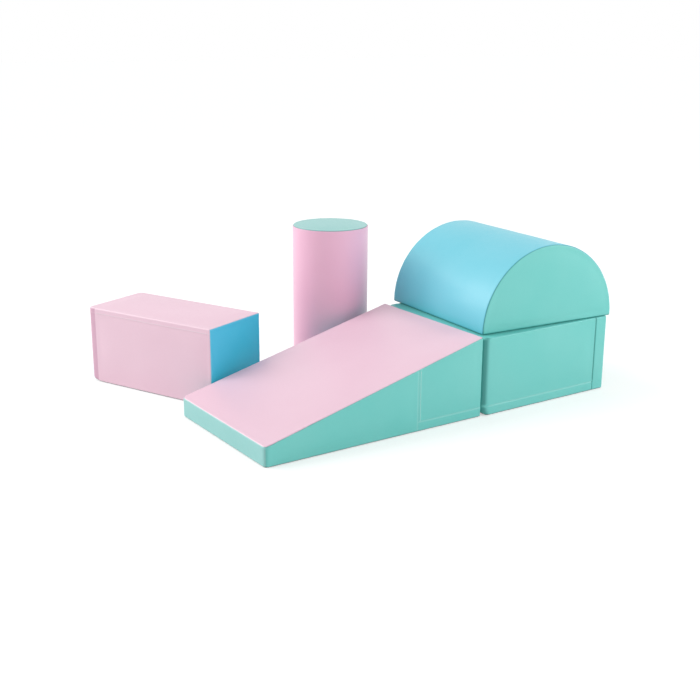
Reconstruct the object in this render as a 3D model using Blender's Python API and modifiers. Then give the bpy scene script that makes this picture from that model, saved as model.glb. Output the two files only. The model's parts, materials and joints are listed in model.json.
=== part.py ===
"""Soft play set of five foam blocks in sewn, zipped covers, for toddlers to climb and crawl on.

The ramp is held to the base block by a pair of hook-and-loop strips, and the half round sits on the
base block on two more pairs. The bar and the cylinder stand loose on the floor. Each block is a foam
core in a cover of separate panels. A coil zip lets the core be taken out.

Each block is modelled in its own frame, which an empty carries: X along its length, Y away from the
side that is looked at, Z up, and the origin in the middle of its underside. Units are metres.
"""
import math

import bmesh
import bpy
from mathutils import Matrix, Vector

# Block sizes, measured over the cover's seams. The blocks that join share one width.
SHARED_WIDTH = 0.500
RAMP_LENGTH = 0.750
RAMP_LOW_HEIGHT = 0.060
RAMP_TALL_HEIGHT = 0.250
BASE_LENGTH = 0.514
BASE_HEIGHT = 0.2435
HALF_ROUND_SPAN = 0.508
HALF_ROUND_RISE = 0.250
BAR_LENGTH = 0.510
BAR_WIDTH = 0.250
BAR_HEIGHT = 0.250
CYLINDER_DIAMETER = 0.250
CYLINDER_HEIGHT = 0.500

# Foam and cover. The foam's soft edges are round, and a seam draws the crisp ones in.
SOFT_EDGE_RADIUS = 0.015
CRISP_EDGE_RADIUS = 0.007
EDGE_STEPS = 4
CROWN = 0.003
CROWN_REACH = 0.120
COVER_THICKNESS = 0.0012
GAP = 0.0003
HALF_ROUND_FACETS = 44
CYLINDER_FACETS = 32
SHARP_EDGE_ANGLE = math.radians(30)
SMOOTH_SHADING_ANGLE = math.radians(35)

# Creases that let a round block's flat ends crown, counted in facets
END_CREASE_FACETS = 5
END_LEVEL_CREASE_FACETS = 6
DISC_CREASE_FACETS = 6.5

# Seams within a side: distances from the block's end, underside or edge
BAND_HEIGHT = 0.030
RAMP_SEAM_FROM_LOW_END = 0.510
BASE_SEAM_FROM_RIGHT = 0.050
BAR_SEAM_FROM_LEFT = 0.030

# Hook-and-loop strips
STRIP_THICKNESS = 0.0010
STRIP_WIDTH = 0.050
STRIP_END_MARGIN = 0.070
SIDE_STRIP_FROM_TOP = 0.060
TOP_STRIP_SPREAD = 0.300

# Zips
ZIP_END_MARGIN = 0.0725
RAMP_ZIP_RUN = 0.360
CYLINDER_ZIP_FROM_FOOT = 0.045
CYLINDER_ZIP_FROM_TOP = 0.095
COIL_WIDTH = 0.0054
COIL_HEIGHT = 0.0020
COIL_SLIT = 0.0016
TAPE_THICKNESS = 0.0006
TAPE_MARGIN = 0.004
ZIP_END_STOP = 0.003
RUN_CLEARANCE = 0.0003
SLIDER_LENGTH = 0.011
SLIDER_WIDTH = 0.0084
SLIDER_PLATE = 0.0010
SLIDER_CORNER = 0.0021
SLIDER_NECK_LENGTH = 0.003
SLIDER_FLANGE_LENGTH = 0.0055
SLIDER_FLANGE_INSET = 0.0001
BRIDGE_LENGTH = 0.0065
BRIDGE_WIDTH = 0.0018
BRIDGE_WALL = 0.0009
PULL_LENGTH = 0.022
PULL_WIDTH = 0.0062
PULL_THICKNESS = 0.0009
PULL_CORNER = 0.0010
PULL_PIN_RADIUS = 0.0005
PULL_PIN_LENGTH = 0.0056
PULL_PIN_FACETS = 12
PULL_CLEARANCE = 0.0004
FUSED_OVERLAP = 0.0003

# Where the blocks stand. The half round is a little askew on the base block, and the bar's nearest
# corner and the cylinder stand clear of the ramp's far side.
RAMP_SHIFT_Y = 0.004
HALF_ROUND_SHIFT_X = 0.0325
HALF_ROUND_SHIFT_Y = 0.017
HALF_ROUND_YAW = math.radians(-3.9)
BAR_YAW = math.radians(-66.47)
BAR_CORNER_FROM_LOW_END = 0.1085
BAR_CLEARANCE = 0.016
CYLINDER_FROM_TALL_END = 0.112
CYLINDER_CLEARANCE = 0.037

# What follows from the sizes above
SKIN = COVER_THICKNESS + GAP
JOIN_GAP = 2 * STRIP_THICKNESS + 3 * GAP
TALL_END_X = -BASE_LENGTH / 2 - JOIN_GAP
LOW_END_X = TALL_END_X - RAMP_LENGTH
RAMP_FAR_Y = RAMP_SHIFT_Y + SHARED_WIDTH / 2
STRIP_LENGTH = SHARED_WIDTH - 2 * STRIP_END_MARGIN
ZIP_SLOT = SLIDER_WIDTH + 4 * RUN_CLEARANCE
TAPE_WIDTH = ZIP_SLOT + 2 * TAPE_MARGIN
TAPE_TOP = -SKIN
TAPE_BOTTOM = TAPE_TOP - TAPE_THICKNESS
COIL_TOP = TAPE_TOP + COIL_HEIGHT
FRONT_PLATE_BASE = COIL_TOP + RUN_CLEARANCE
FRONT_PLATE_TOP = FRONT_PLATE_BASE + SLIDER_PLATE
BACK_PLATE_TOP = TAPE_BOTTOM - RUN_CLEARANCE
BACK_PLATE_BASE = BACK_PLATE_TOP - SLIDER_PLATE
PULL_AXIS_HEIGHT = FRONT_PLATE_TOP + PULL_PIN_RADIUS + PULL_CLEARANCE
BRIDGE_INSIDE_TOP = PULL_AXIS_HEIGHT + PULL_PIN_RADIUS + PULL_CLEARANCE
SLIDER_START = ZIP_END_STOP + RUN_CLEARANCE + SLIDER_LENGTH / 2

X, Y, Z = Vector((1, 0, 0)), Vector((0, 1, 0)), Vector((0, 0, 1))

# Finishes: colour in linear RGB, roughness, metallic
FINISHES = {
    "pink_cover": ((0.86, 0.62, 0.72), 0.42, 0.0),
    "teal_cover": ((0.20, 0.62, 0.57), 0.42, 0.0),
    "pale_teal_cover": ((0.30, 0.70, 0.64), 0.42, 0.0),
    "sky_blue_cover": ((0.20, 0.60, 0.80), 0.35, 0.0),
    "blue_cover": ((0.08, 0.42, 0.60), 0.40, 0.0),
    "non_slip_base": ((0.42, 0.44, 0.45), 0.90, 0.0),
    "foam": ((0.86, 0.84, 0.74), 0.95, 0.0),
    "hook_and_loop": ((0.30, 0.66, 0.62), 0.95, 0.0),
    "zip_tape": ((0.70, 0.74, 0.74), 0.80, 0.0),
    "zip_metal": ((0.62, 0.63, 0.65), 0.30, 1.0),
}


def clear_scene():
    for item in list(bpy.data.objects):
        bpy.data.objects.remove(item, do_unlink=True)


def collection(name):
    made = bpy.data.collections.new(name)
    bpy.context.scene.collection.children.link(made)
    return made


def finish_material(name, finish):
    colour, roughness, metallic = FINISHES[finish]
    made = bpy.data.materials.new(name)
    made.use_nodes = True
    made.diffuse_color = (*colour, 1.0)
    shader = made.node_tree.nodes["Principled BSDF"]
    shader.inputs["Base Color"].default_value = (*colour, 1.0)
    shader.inputs["Roughness"].default_value = roughness
    shader.inputs["Metallic"].default_value = metallic
    return made


def add_object(name, mesh, parent, finish):
    """A sub-part of the set, in its parent's frame."""
    made = bpy.data.objects.new(name, mesh)
    PARTS.objects.link(made)
    made.parent = parent
    made.data.materials.clear()
    made.data.materials.append(finish_material(name, finish))
    return made


def add_empty(name, parent, matrix):
    made = bpy.data.objects.new(name, None)
    made.empty_display_size = 0.05
    PARTS.objects.link(made)
    made.parent = parent
    made.matrix_local = matrix
    return made


def to_mesh(bm, name):
    bmesh.ops.recalc_face_normals(bm, faces=bm.faces)
    mesh = bpy.data.meshes.new(name)
    bm.to_mesh(mesh)
    bm.free()
    shade(mesh)
    return mesh


def shade(mesh):
    mesh.shade_smooth()
    mesh.set_sharp_from_angle(angle=SMOOTH_SHADING_ANGLE)


def box_mesh(name, low, high, rounding=0.0, rounded_axis=None):
    """A box between two corners; edges along rounded_axis, or all of them, may be rounded."""
    low, high = Vector(low), Vector(high)
    bm = bmesh.new()
    bmesh.ops.create_cube(bm, size=1.0)
    bmesh.ops.scale(bm, vec=high - low, verts=bm.verts)
    bmesh.ops.translate(bm, vec=(low + high) / 2, verts=bm.verts)
    if rounding:
        edges = [e for e in bm.edges if rounded_axis is None or along(e, rounded_axis)]
        bmesh.ops.bevel(bm, geom=edges, offset=rounding, segments=3, profile=0.5, affect="EDGES")
    return to_mesh(bm, name)


def along(edge, axis):
    run = (edge.verts[1].co - edge.verts[0].co).normalized()
    return abs(run.dot(axis)) > 0.99


def rod_mesh(name, radius, length, facets):
    """A round rod along Y, centred on the origin."""
    bm = bmesh.new()
    bmesh.ops.create_cone(bm, cap_ends=True, segments=facets, radius1=radius, radius2=radius,
                          depth=length, matrix=Matrix.Rotation(math.pi / 2, 4, "X"))
    return to_mesh(bm, name)


def add_cutter(name, mesh, parent):
    made = bpy.data.objects.new(name, mesh)
    CUTTERS.objects.link(made)
    made.parent = parent
    made.hide_render = True
    made.display_type = "WIRE"
    return made


def boolean(target, tool, operation):
    step = target.modifiers.new(operation.title(), "BOOLEAN")
    step.object = tool
    step.operation = operation
    step.solver = "EXACT"


def fused_mesh(name, body, joined=(), cut=()):
    """One mesh of the body with the joined meshes added and the cut meshes taken away."""
    base = bpy.data.objects.new(name, body)
    CUTTERS.objects.link(base)
    tools = []
    for mesh, operation in [(m, "UNION") for m in joined] + [(m, "DIFFERENCE") for m in cut]:
        tools.append(add_cutter(mesh.name, mesh, None))
        boolean(base, tools[-1], operation)
    bpy.context.view_layer.update()
    graph = bpy.context.evaluated_depsgraph_get()
    mesh = bpy.data.meshes.new_from_object(base.evaluated_get(graph))
    for used in tools + [base]:
        bpy.data.objects.remove(used, do_unlink=True)
    mesh.name = name
    shade(mesh)
    return mesh


def rounded(bm):
    """The mesh with its edges rounded, each to its own share of the soft edge's radius."""
    mesh = bpy.data.meshes.new("blank")
    bm.to_mesh(mesh)
    bm.free()
    blank = bpy.data.objects.new("blank", mesh)
    CUTTERS.objects.link(blank)
    step = blank.modifiers.new("Rounded edges", "BEVEL")
    step.limit_method = "WEIGHT"
    step.width = SOFT_EDGE_RADIUS
    step.segments = EDGE_STEPS
    bpy.context.view_layer.update()
    made = bmesh.new()
    made.from_object(blank, bpy.context.evaluated_depsgraph_get())
    bpy.data.objects.remove(blank, do_unlink=True)
    return made


class Side:
    """One side of a block. A flat side has a plane, and a curved one only a depth formula."""

    def __init__(self, name, depth=None, point=None, normal=None, crown=0.0):
        self.name = name
        self.normal = normal
        self.crown = crown
        self.depth = depth or (lambda co: (point - co).dot(normal))


class Block:
    """A foam block: the empty that places it, its sides and the surface of its foam."""

    def __init__(self, name, parent, place, yaw, sides):
        self.name = name
        stands = Matrix.Translation(place) @ Matrix.Rotation(yaw, 4, "Z")
        self.frame = add_empty(name + "_frame", parent, stands)
        self.sides = sides
        self.foam = None
        self.skin = None

    def side(self, name):
        return next(side for side in self.sides if side.name == name)

    def side_at(self, co):
        """The side that a point on the foam's surface belongs to. Seams run where two are as near."""
        return min(self.sides, key=lambda side: side.depth(co))

    def take_foam(self, bm, soft=()):
        """Round the edges, raise the sides into low crowns and keep the result as the foam.

        Soft holds pairs of side names, for the edges that are rounder than the rest. The foam is cut
        into triangles before it is kept, so that the skin's creases leave its shape as it is.
        """
        weights = bm.edges.layers.float.new("bevel_weight_edge")
        for edge in bm.edges:
            if edge.calc_face_angle(0.0) > SHARP_EDGE_ANGLE:
                middle = (edge.verts[0].co + edge.verts[1].co) / 2
                joined = sorted(side.name for side in self.nearest_sides(middle))
                radius = SOFT_EDGE_RADIUS if tuple(joined) in soft else CRISP_EDGE_RADIUS
                edge[weights] = radius / SOFT_EDGE_RADIUS
        bm = rounded(bm)
        bmesh.ops.recalc_face_normals(bm, faces=bm.faces)
        bm.normal_update()
        lifts = [(v, v.normal * self.crown_at(v.co)) for v in bm.verts]
        for vertex, lift in lifts:
            vertex.co += lift
        bmesh.ops.triangulate(bm, faces=bm.faces)
        self.foam = to_mesh(bm, self.name + "_foam")
        self.skin = bmesh.new()
        self.skin.from_mesh(self.foam)

    def nearest_sides(self, co):
        return sorted(self.sides, key=lambda side: side.depth(co))[:2]

    def crown_at(self, co):
        nearest, second = self.nearest_sides(co)
        inset = max(0.0, min((second.depth(co) - SOFT_EDGE_RADIUS) / CROWN_REACH, 1.0))
        return nearest.crown * (1 - (1 - inset) ** 2)

    def crease(self, side_name, point, normal):
        """Cut a line into one side of the skin, for a seam to follow."""
        faces = [f for f in self.skin.faces if self.side_at(f.calc_center_median()).name == side_name]
        edges = {e for f in faces for e in f.edges}
        verts = {v for f in faces for v in f.verts}
        bmesh.ops.bisect_plane(self.skin, geom=[*verts, *edges, *faces], dist=1e-6,
                               plane_co=point, plane_no=normal)

    def seam(self, side_name, point, normal, width=GAP):
        """Two creases, with a strip between them that no panel takes."""
        for shift in (-width / 2, width / 2):
            self.crease(side_name, Vector(point) + normal * shift, normal)

    def add_core(self):
        return add_object(self.name + "_foam_core", self.foam, self.frame, "foam")

    def add_panel(self, name, finish, side_name, holds=None):
        """The skin's faces on one side that pass the test, moved clear of the foam and thickened."""
        bm = self.skin.copy()
        strays = []
        for face in bm.faces:
            centre = face.calc_center_median()
            if self.side_at(centre).name != side_name or (holds and not holds(centre)):
                strays.append(face)
        bmesh.ops.delete(bm, geom=strays, context="FACES")
        bm.normal_update()
        outward = self.side(side_name).normal
        for vertex in bm.verts:
            vertex.co += (outward or vertex.normal) * GAP
        mesh = bpy.data.meshes.new(name)
        bm.to_mesh(mesh)
        bm.free()
        shade(mesh)
        made = add_object(self.name + "_" + name, mesh, self.frame, finish)
        thicken = made.modifiers.new("Cover thickness", "SOLIDIFY")
        thicken.thickness = COVER_THICKNESS
        thicken.offset = 1.0
        thicken.use_even_offset = True
        return made


def crown_lines(half):
    """Where a side is creased so that its crown can rise: a reach in from each edge, or midway."""
    flat = half - CROWN_REACH
    return (-flat, flat) if flat > CROWN_REACH / 2 else (0.0,)


def slice_mesh(bm, axis, places):
    for place in places:
        bmesh.ops.bisect_plane(bm, geom=[*bm.verts, *bm.edges, *bm.faces], dist=1e-5,
                               plane_co=axis * place, plane_no=axis)


def close_cut(bm, cut):
    """Fill the opening that a plane has left."""
    bmesh.ops.contextual_create(bm, geom=[e for e in cut["geom_cut"] if isinstance(e, bmesh.types.BMEdge)])


def box_sides(length, width, height, crowned):
    """The six sides of a block's foam, inset by the skin from its size over the cover."""
    half_x, half_y = length / 2 - SKIN, width / 2 - SKIN
    planes = {
        "left": (-X * half_x, -X), "right": (X * half_x, X),
        "near": (-Y * half_y, -Y), "far": (Y * half_y, Y),
        "under": (Z * SKIN, -Z), "top": (Z * (height - SKIN), Z),
    }
    return [Side(name, point=point, normal=normal, crown=CROWN if name in crowned else 0.0)
            for name, (point, normal) in planes.items()]


def box_foam(length, width, height):
    bm = bmesh.new()
    bmesh.ops.create_cube(bm, size=1.0)
    bmesh.ops.scale(bm, vec=(length - 2 * SKIN, width - 2 * SKIN, height - 2 * SKIN), verts=bm.verts)
    bmesh.ops.translate(bm, vec=Z * (height / 2), verts=bm.verts)
    slice_mesh(bm, X, crown_lines(length / 2))
    slice_mesh(bm, Y, crown_lines(width / 2))
    slice_mesh(bm, Z, [height / 2 + line for line in crown_lines(height / 2)])
    return bm


def before(value, seam):
    """Whether a coordinate lies short of a seam and of the gap along it."""
    return value < seam - GAP / 2


def past(value, seam):
    return value > seam + GAP / 2


class Zip:
    """Where a zip lies on its block: its middle on the cover, and the axes along it and outwards."""

    def __init__(self, centre, along_axis, outward, run):
        self.centre = centre
        self.along = along_axis
        self.outward = outward
        self.across = outward.cross(along_axis)
        self.run = run

    def shows(self, co):
        """Whether a point of the skin lies in the window that the zip shows through."""
        offset = co - self.centre
        behind = offset.dot(self.outward) < -SOFT_EDGE_RADIUS
        beside = abs(offset.dot(self.along)) > self.run / 2 or abs(offset.dot(self.across)) > ZIP_SLOT / 2
        return not behind and not beside

    def crease(self, block, side_name):
        """Crease the skin along the zip's seam and round the window that the slider runs in."""
        block.seam(side_name, self.centre, self.across)
        block.seam(side_name, self.centre, self.across, width=ZIP_SLOT)
        block.seam(side_name, self.centre, self.along, width=self.run)


def chain_mesh(name, run):
    """Two coil rows on their tapes, a slit apart for the slider's neck and joined at both ends."""
    half_run = run / 2
    tape = box_mesh(name + "_tape", (-half_run - TAPE_MARGIN, -TAPE_WIDTH / 2, TAPE_BOTTOM),
                    (half_run + TAPE_MARGIN, TAPE_WIDTH / 2, TAPE_TOP))
    rows = box_mesh(name + "_rows", (-half_run + GAP, -COIL_WIDTH / 2, TAPE_BOTTOM + TAPE_THICKNESS / 2),
                    (half_run - GAP, COIL_WIDTH / 2, COIL_TOP), rounding=COIL_HEIGHT / 4, rounded_axis=X)
    slit = box_mesh(name + "_slit", (-half_run + ZIP_END_STOP, -COIL_SLIT / 2, TAPE_BOTTOM - COIL_HEIGHT),
                    (half_run - ZIP_END_STOP, COIL_SLIT / 2, COIL_TOP + COIL_HEIGHT))
    return fused_mesh(name, tape, joined=[rows], cut=[slit])


def slider_mesh():
    """Front and back plates on a neck, side flanges round the coil and a bridge for the pull."""
    half_length, half_width = SLIDER_LENGTH / 2, SLIDER_WIDTH / 2
    front = box_mesh("slider_front", (-half_length, -half_width, FRONT_PLATE_BASE),
                     (half_length, half_width, FRONT_PLATE_TOP), rounding=SLIDER_CORNER, rounded_axis=Z)
    back = box_mesh("slider_back", (-half_length, -half_width, BACK_PLATE_BASE),
                    (half_length, half_width, BACK_PLATE_TOP), rounding=SLIDER_CORNER, rounded_axis=Z)
    half_neck, neck_x = COIL_SLIT / 2 - RUN_CLEARANCE, FUSED_OVERLAP - half_length
    neck = box_mesh("slider_neck", (neck_x, -half_neck, BACK_PLATE_TOP - FUSED_OVERLAP),
                    (neck_x + SLIDER_NECK_LENGTH, half_neck, FRONT_PLATE_BASE + FUSED_OVERLAP))
    inner, outer = COIL_WIDTH / 2 + RUN_CLEARANCE, half_width - SLIDER_FLANGE_INSET
    foot, top = TAPE_TOP + RUN_CLEARANCE, FRONT_PLATE_BASE + FUSED_OVERLAP
    half_flange = SLIDER_FLANGE_LENGTH / 2
    flanges = [box_mesh("slider_flange", (-half_flange, low, foot), (half_flange, high, top))
               for low, high in ((-outer, -inner), (inner, outer))]
    bridge_foot = FRONT_PLATE_TOP - FUSED_OVERLAP
    bridge = box_mesh("slider_bridge", (-BRIDGE_LENGTH / 2, -BRIDGE_WIDTH / 2, bridge_foot),
                      (BRIDGE_LENGTH / 2, BRIDGE_WIDTH / 2, BRIDGE_INSIDE_TOP + BRIDGE_WALL),
                      rounding=BRIDGE_WALL, rounded_axis=Y)
    opening = box_mesh("slider_opening", (BRIDGE_WALL - BRIDGE_LENGTH / 2, -BRIDGE_WIDTH, FRONT_PLATE_TOP),
                       (BRIDGE_LENGTH / 2 - BRIDGE_WALL, BRIDGE_WIDTH, BRIDGE_INSIDE_TOP))
    arch = fused_mesh("slider_arch", bridge, cut=[opening])
    return fused_mesh("zip_slider", front, joined=[neck, back, *flanges, arch])


def pull_mesh():
    """A flat tab on a round pin, with an eye that the slider's bridge passes through."""
    bridge_top = BRIDGE_INSIDE_TOP + BRIDGE_WALL - PULL_AXIS_HEIGHT
    reach = math.hypot(BRIDGE_LENGTH / 2, bridge_top) + PULL_CLEARANCE
    half_eye = BRIDGE_WIDTH / 2 + PULL_CLEARANCE
    half_width, half_thickness = PULL_WIDTH / 2, PULL_THICKNESS / 2
    tab = box_mesh("pull_tab", (-PULL_LENGTH, -half_width, -half_thickness),
                   (0.0, half_width, half_thickness), rounding=PULL_CORNER, rounded_axis=Z)
    eye = box_mesh("pull_eye", (-reach, -half_eye, -PULL_THICKNESS),
                   (PULL_PIN_RADIUS, half_eye, PULL_THICKNESS))
    pin = rod_mesh("pull_pin", PULL_PIN_RADIUS, PULL_PIN_LENGTH, PULL_PIN_FACETS)
    holed = fused_mesh("pull_holed", tab, cut=[eye])
    return fused_mesh("zip_pull", holed, joined=[pin])


def add_zip(block, core, fastener):
    """The zip of one block: its bed in the foam, the chain, the slider and the pull on the slider."""
    axes = Matrix((fastener.along, fastener.across, fastener.outward)).transposed().to_4x4()
    frame = add_empty(block.name + "_zip_frame", block.frame, Matrix.Translation(fastener.centre) @ axes)
    half_run, half_slot, half_tape = fastener.run / 2, ZIP_SLOT / 2, TAPE_WIDTH / 2 + GAP
    half_bed = half_run + TAPE_MARGIN + GAP
    proud = COIL_HEIGHT + SOFT_EDGE_RADIUS
    bed = box_mesh("bed", (-half_bed, -half_tape, TAPE_BOTTOM - GAP), (half_bed, half_tape, proud))
    groove_floor = BACK_PLATE_BASE - RUN_CLEARANCE
    groove = box_mesh("groove", (-half_run, -half_slot, groove_floor), (half_run, half_slot, proud))
    for name, mesh in (("_tape_bed_cutter", bed), ("_slider_groove_cutter", groove)):
        boolean(core, add_cutter(block.name + name, mesh, frame), "DIFFERENCE")
    chain = block.name + "_zip_chain"
    add_object(chain, chain_mesh(chain, fastener.run), frame, "zip_tape")
    slider = add_object(block.name + "_zip_slider", SLIDER.copy(), frame, "zip_metal")
    slider.location = X * (SLIDER_START - half_run)
    pull = add_object(block.name + "_zip_pull", PULL.copy(), slider, "zip_metal")
    pull.location = Z * PULL_AXIS_HEIGHT


def add_side_strip(block, name, face_x, outward, middle_y):
    """A hook or loop strip along Y, sewn on a left or right side."""
    inner, outer = face_x + outward * GAP, face_x + outward * (GAP + STRIP_THICKNESS)
    height = min(RAMP_TALL_HEIGHT, BASE_HEIGHT) - SIDE_STRIP_FROM_TOP
    low = (min(inner, outer), middle_y - STRIP_LENGTH / 2, height - STRIP_WIDTH / 2)
    high = (max(inner, outer), middle_y + STRIP_LENGTH / 2, height + STRIP_WIDTH / 2)
    add_object(block.name + "_" + name, box_mesh(name, low, high), block.frame, "hook_and_loop")


def add_level_strips(block, kind, low_z):
    """Two hook or loop strips along Y, left and right of the middle of a top or an underside."""
    for name, middle in (("left", -TOP_STRIP_SPREAD / 2), ("right", TOP_STRIP_SPREAD / 2)):
        low = (middle - STRIP_WIDTH / 2, -STRIP_LENGTH / 2, low_z)
        high = (middle + STRIP_WIDTH / 2, STRIP_LENGTH / 2, low_z + STRIP_THICKNESS)
        add_object(f"{block.name}_{name}_{kind}", box_mesh(kind, low, high), block.frame, "hook_and_loop")


def zipped_far_side(block, finish, half_width, run, centre_x=0.0):
    """A flat far side in two panels, with the zip in the seam between them."""
    fastener = Zip(Vector((centre_x, half_width, BAND_HEIGHT)), -X, Y, run)
    fastener.crease(block, "far")
    block.add_panel("far_side_panel", finish, "far",
                    lambda co: past(co.z, BAND_HEIGHT) and not fastener.shows(co))
    block.add_panel("far_side_band", finish, "far",
                    lambda co: before(co.z, BAND_HEIGHT) and not fastener.shows(co))
    add_zip(block, block.add_core(), fastener)


def make_ramp(root):
    """The wedge, with its low end at -X and its tall end against the base block."""
    slope = Vector((RAMP_LENGTH, 0, RAMP_TALL_HEIGHT - RAMP_LOW_HEIGHT)).normalized()
    slope_normal = Vector((-slope.z, 0, slope.x))
    slope_point = Vector((-RAMP_LENGTH / 2, 0, RAMP_LOW_HEIGHT)) - slope_normal * SKIN
    sides = box_sides(RAMP_LENGTH, SHARED_WIDTH, RAMP_TALL_HEIGHT, crowned=("near", "left"))
    sides = [side for side in sides if side.name != "top"]
    sides.append(Side("slope", point=slope_point, normal=slope_normal, crown=CROWN))
    ramp = Block("ramp", root, (LOW_END_X + RAMP_LENGTH / 2, RAMP_SHIFT_Y, 0), 0.0, sides)
    bm = bmesh.new()
    bmesh.ops.create_cube(bm, size=1.0)
    blank = (RAMP_LENGTH - 2 * SKIN, SHARED_WIDTH - 2 * SKIN, RAMP_TALL_HEIGHT)
    bmesh.ops.scale(bm, vec=blank, verts=bm.verts)
    bmesh.ops.translate(bm, vec=Z * (RAMP_TALL_HEIGHT / 2 + SKIN), verts=bm.verts)
    cut = bmesh.ops.bisect_plane(bm, geom=[*bm.verts, *bm.edges, *bm.faces], plane_co=slope_point,
                                 plane_no=slope_normal, clear_outer=True)
    close_cut(bm, cut)
    slice_mesh(bm, X, crown_lines(RAMP_LENGTH / 2))
    slice_mesh(bm, Y, crown_lines(SHARED_WIDTH / 2))
    slice_mesh(bm, Z, (RAMP_TALL_HEIGHT / 2,))
    ramp.take_foam(bm, soft=[("left", "near"), ("far", "left"), ("left", "under")])
    seam_x = RAMP_SEAM_FROM_LOW_END - RAMP_LENGTH / 2
    ramp.seam("near", X * seam_x, X)
    ramp.seam("near", Z * BAND_HEIGHT, Z)
    ramp.add_panel("slope_panel", "pink_cover", "slope")
    ramp.add_panel("low_end_panel", "pale_teal_cover", "left")
    ramp.add_panel("near_side_front", "teal_cover", "near", lambda co: before(co.x, seam_x))
    ramp.add_panel("near_side_rear", "teal_cover", "near",
                   lambda co: past(co.x, seam_x) and past(co.z, BAND_HEIGHT))
    ramp.add_panel("near_side_band", "teal_cover", "near",
                   lambda co: past(co.x, seam_x) and before(co.z, BAND_HEIGHT))
    ramp.add_panel("tall_end_panel", "teal_cover", "right")
    ramp.add_panel("underside", "non_slip_base", "under")
    zip_x = RAMP_LENGTH / 2 - ZIP_END_MARGIN - RAMP_ZIP_RUN / 2
    zipped_far_side(ramp, "teal_cover", SHARED_WIDTH / 2, RAMP_ZIP_RUN, zip_x)
    add_side_strip(ramp, "loop_strip", RAMP_LENGTH / 2, 1, -RAMP_SHIFT_Y)


def make_base(root):
    """The square block that the ramp leads up to and that carries the half round."""
    sides = box_sides(BASE_LENGTH, SHARED_WIDTH, BASE_HEIGHT, crowned=("near", "right"))
    base = Block("base", root, (0, 0, 0), 0.0, sides)
    upright_edges = [("left", "near"), ("near", "right"), ("far", "right"), ("far", "left")]
    base.take_foam(box_foam(BASE_LENGTH, SHARED_WIDTH, BASE_HEIGHT), soft=upright_edges)
    seam_x = BASE_LENGTH / 2 - BASE_SEAM_FROM_RIGHT
    base.seam("near", X * seam_x, X)
    base.seam("near", Z * BAND_HEIGHT, Z)
    base.add_panel("top_panel", "teal_cover", "top")
    base.add_panel("near_side_panel", "teal_cover", "near",
                   lambda co: before(co.x, seam_x) and past(co.z, BAND_HEIGHT))
    base.add_panel("near_side_band", "teal_cover", "near",
                   lambda co: before(co.x, seam_x) and before(co.z, BAND_HEIGHT))
    base.add_panel("near_corner_strip", "teal_cover", "near", lambda co: past(co.x, seam_x))
    base.add_panel("left_side_panel", "teal_cover", "left")
    base.add_panel("right_side_panel", "teal_cover", "right")
    base.add_panel("underside", "non_slip_base", "under")
    zipped_far_side(base, "teal_cover", SHARED_WIDTH / 2, BASE_LENGTH - 2 * ZIP_END_MARGIN)
    add_side_strip(base, "side_hook_strip", -BASE_LENGTH / 2, -1, 0.0)
    add_level_strips(base, "top_hook_strip", BASE_HEIGHT + GAP)


def make_half_round(root):
    """The half cylinder on top of the base block. Its section is a half ellipse."""
    half_span, half_width = HALF_ROUND_SPAN / 2 - SKIN, SHARED_WIDTH / 2 - SKIN
    rise = HALF_ROUND_RISE - 2 * SKIN

    def arch_depth(co):
        return (1 - math.hypot(co.x / half_span, (co.z - SKIN) / rise)) * rise

    sides = [
        Side("arch", depth=arch_depth, crown=0.0),
        Side("near", point=-Y * half_width, normal=-Y, crown=CROWN),
        Side("far", point=Y * half_width, normal=Y),
        Side("under", point=Z * SKIN, normal=-Z),
    ]
    place = (HALF_ROUND_SHIFT_X, HALF_ROUND_SHIFT_Y, BASE_HEIGHT + JOIN_GAP)
    half_round = Block("half_round", root, place, HALF_ROUND_YAW, sides)
    bm = bmesh.new()
    bmesh.ops.create_cone(bm, cap_ends=True, segments=HALF_ROUND_FACETS, radius1=1.0, radius2=1.0,
                          depth=2 * half_width, matrix=Matrix.Rotation(math.pi / 2, 4, "X"))
    bmesh.ops.scale(bm, vec=(half_span, 1.0, rise), verts=bm.verts)
    bmesh.ops.translate(bm, vec=Z * SKIN, verts=bm.verts)
    cut = bmesh.ops.bisect_plane(bm, geom=[*bm.verts, *bm.edges, *bm.faces], dist=1e-6, plane_co=Z * SKIN,
                                 plane_no=Z, clear_inner=True)
    close_cut(bm, cut)
    facet = 2 * math.pi / HALF_ROUND_FACETS
    crease_x = half_span * math.sin(END_CREASE_FACETS * facet)
    slice_mesh(bm, X, (-crease_x, 0.0, crease_x))
    slice_mesh(bm, Z, (SKIN + rise * math.cos(END_LEVEL_CREASE_FACETS * facet),))
    half_round.take_foam(bm)
    half_round.add_panel("arch_panel", "sky_blue_cover", "arch")
    half_round.add_panel("near_end_panel", "teal_cover", "near")
    half_round.add_panel("underside", "teal_cover", "under")
    zipped_far_side(half_round, "teal_cover", SHARED_WIDTH / 2, HALF_ROUND_SPAN - 2 * ZIP_END_MARGIN)
    add_level_strips(half_round, "loop_strip", -GAP - STRIP_THICKNESS)


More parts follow.
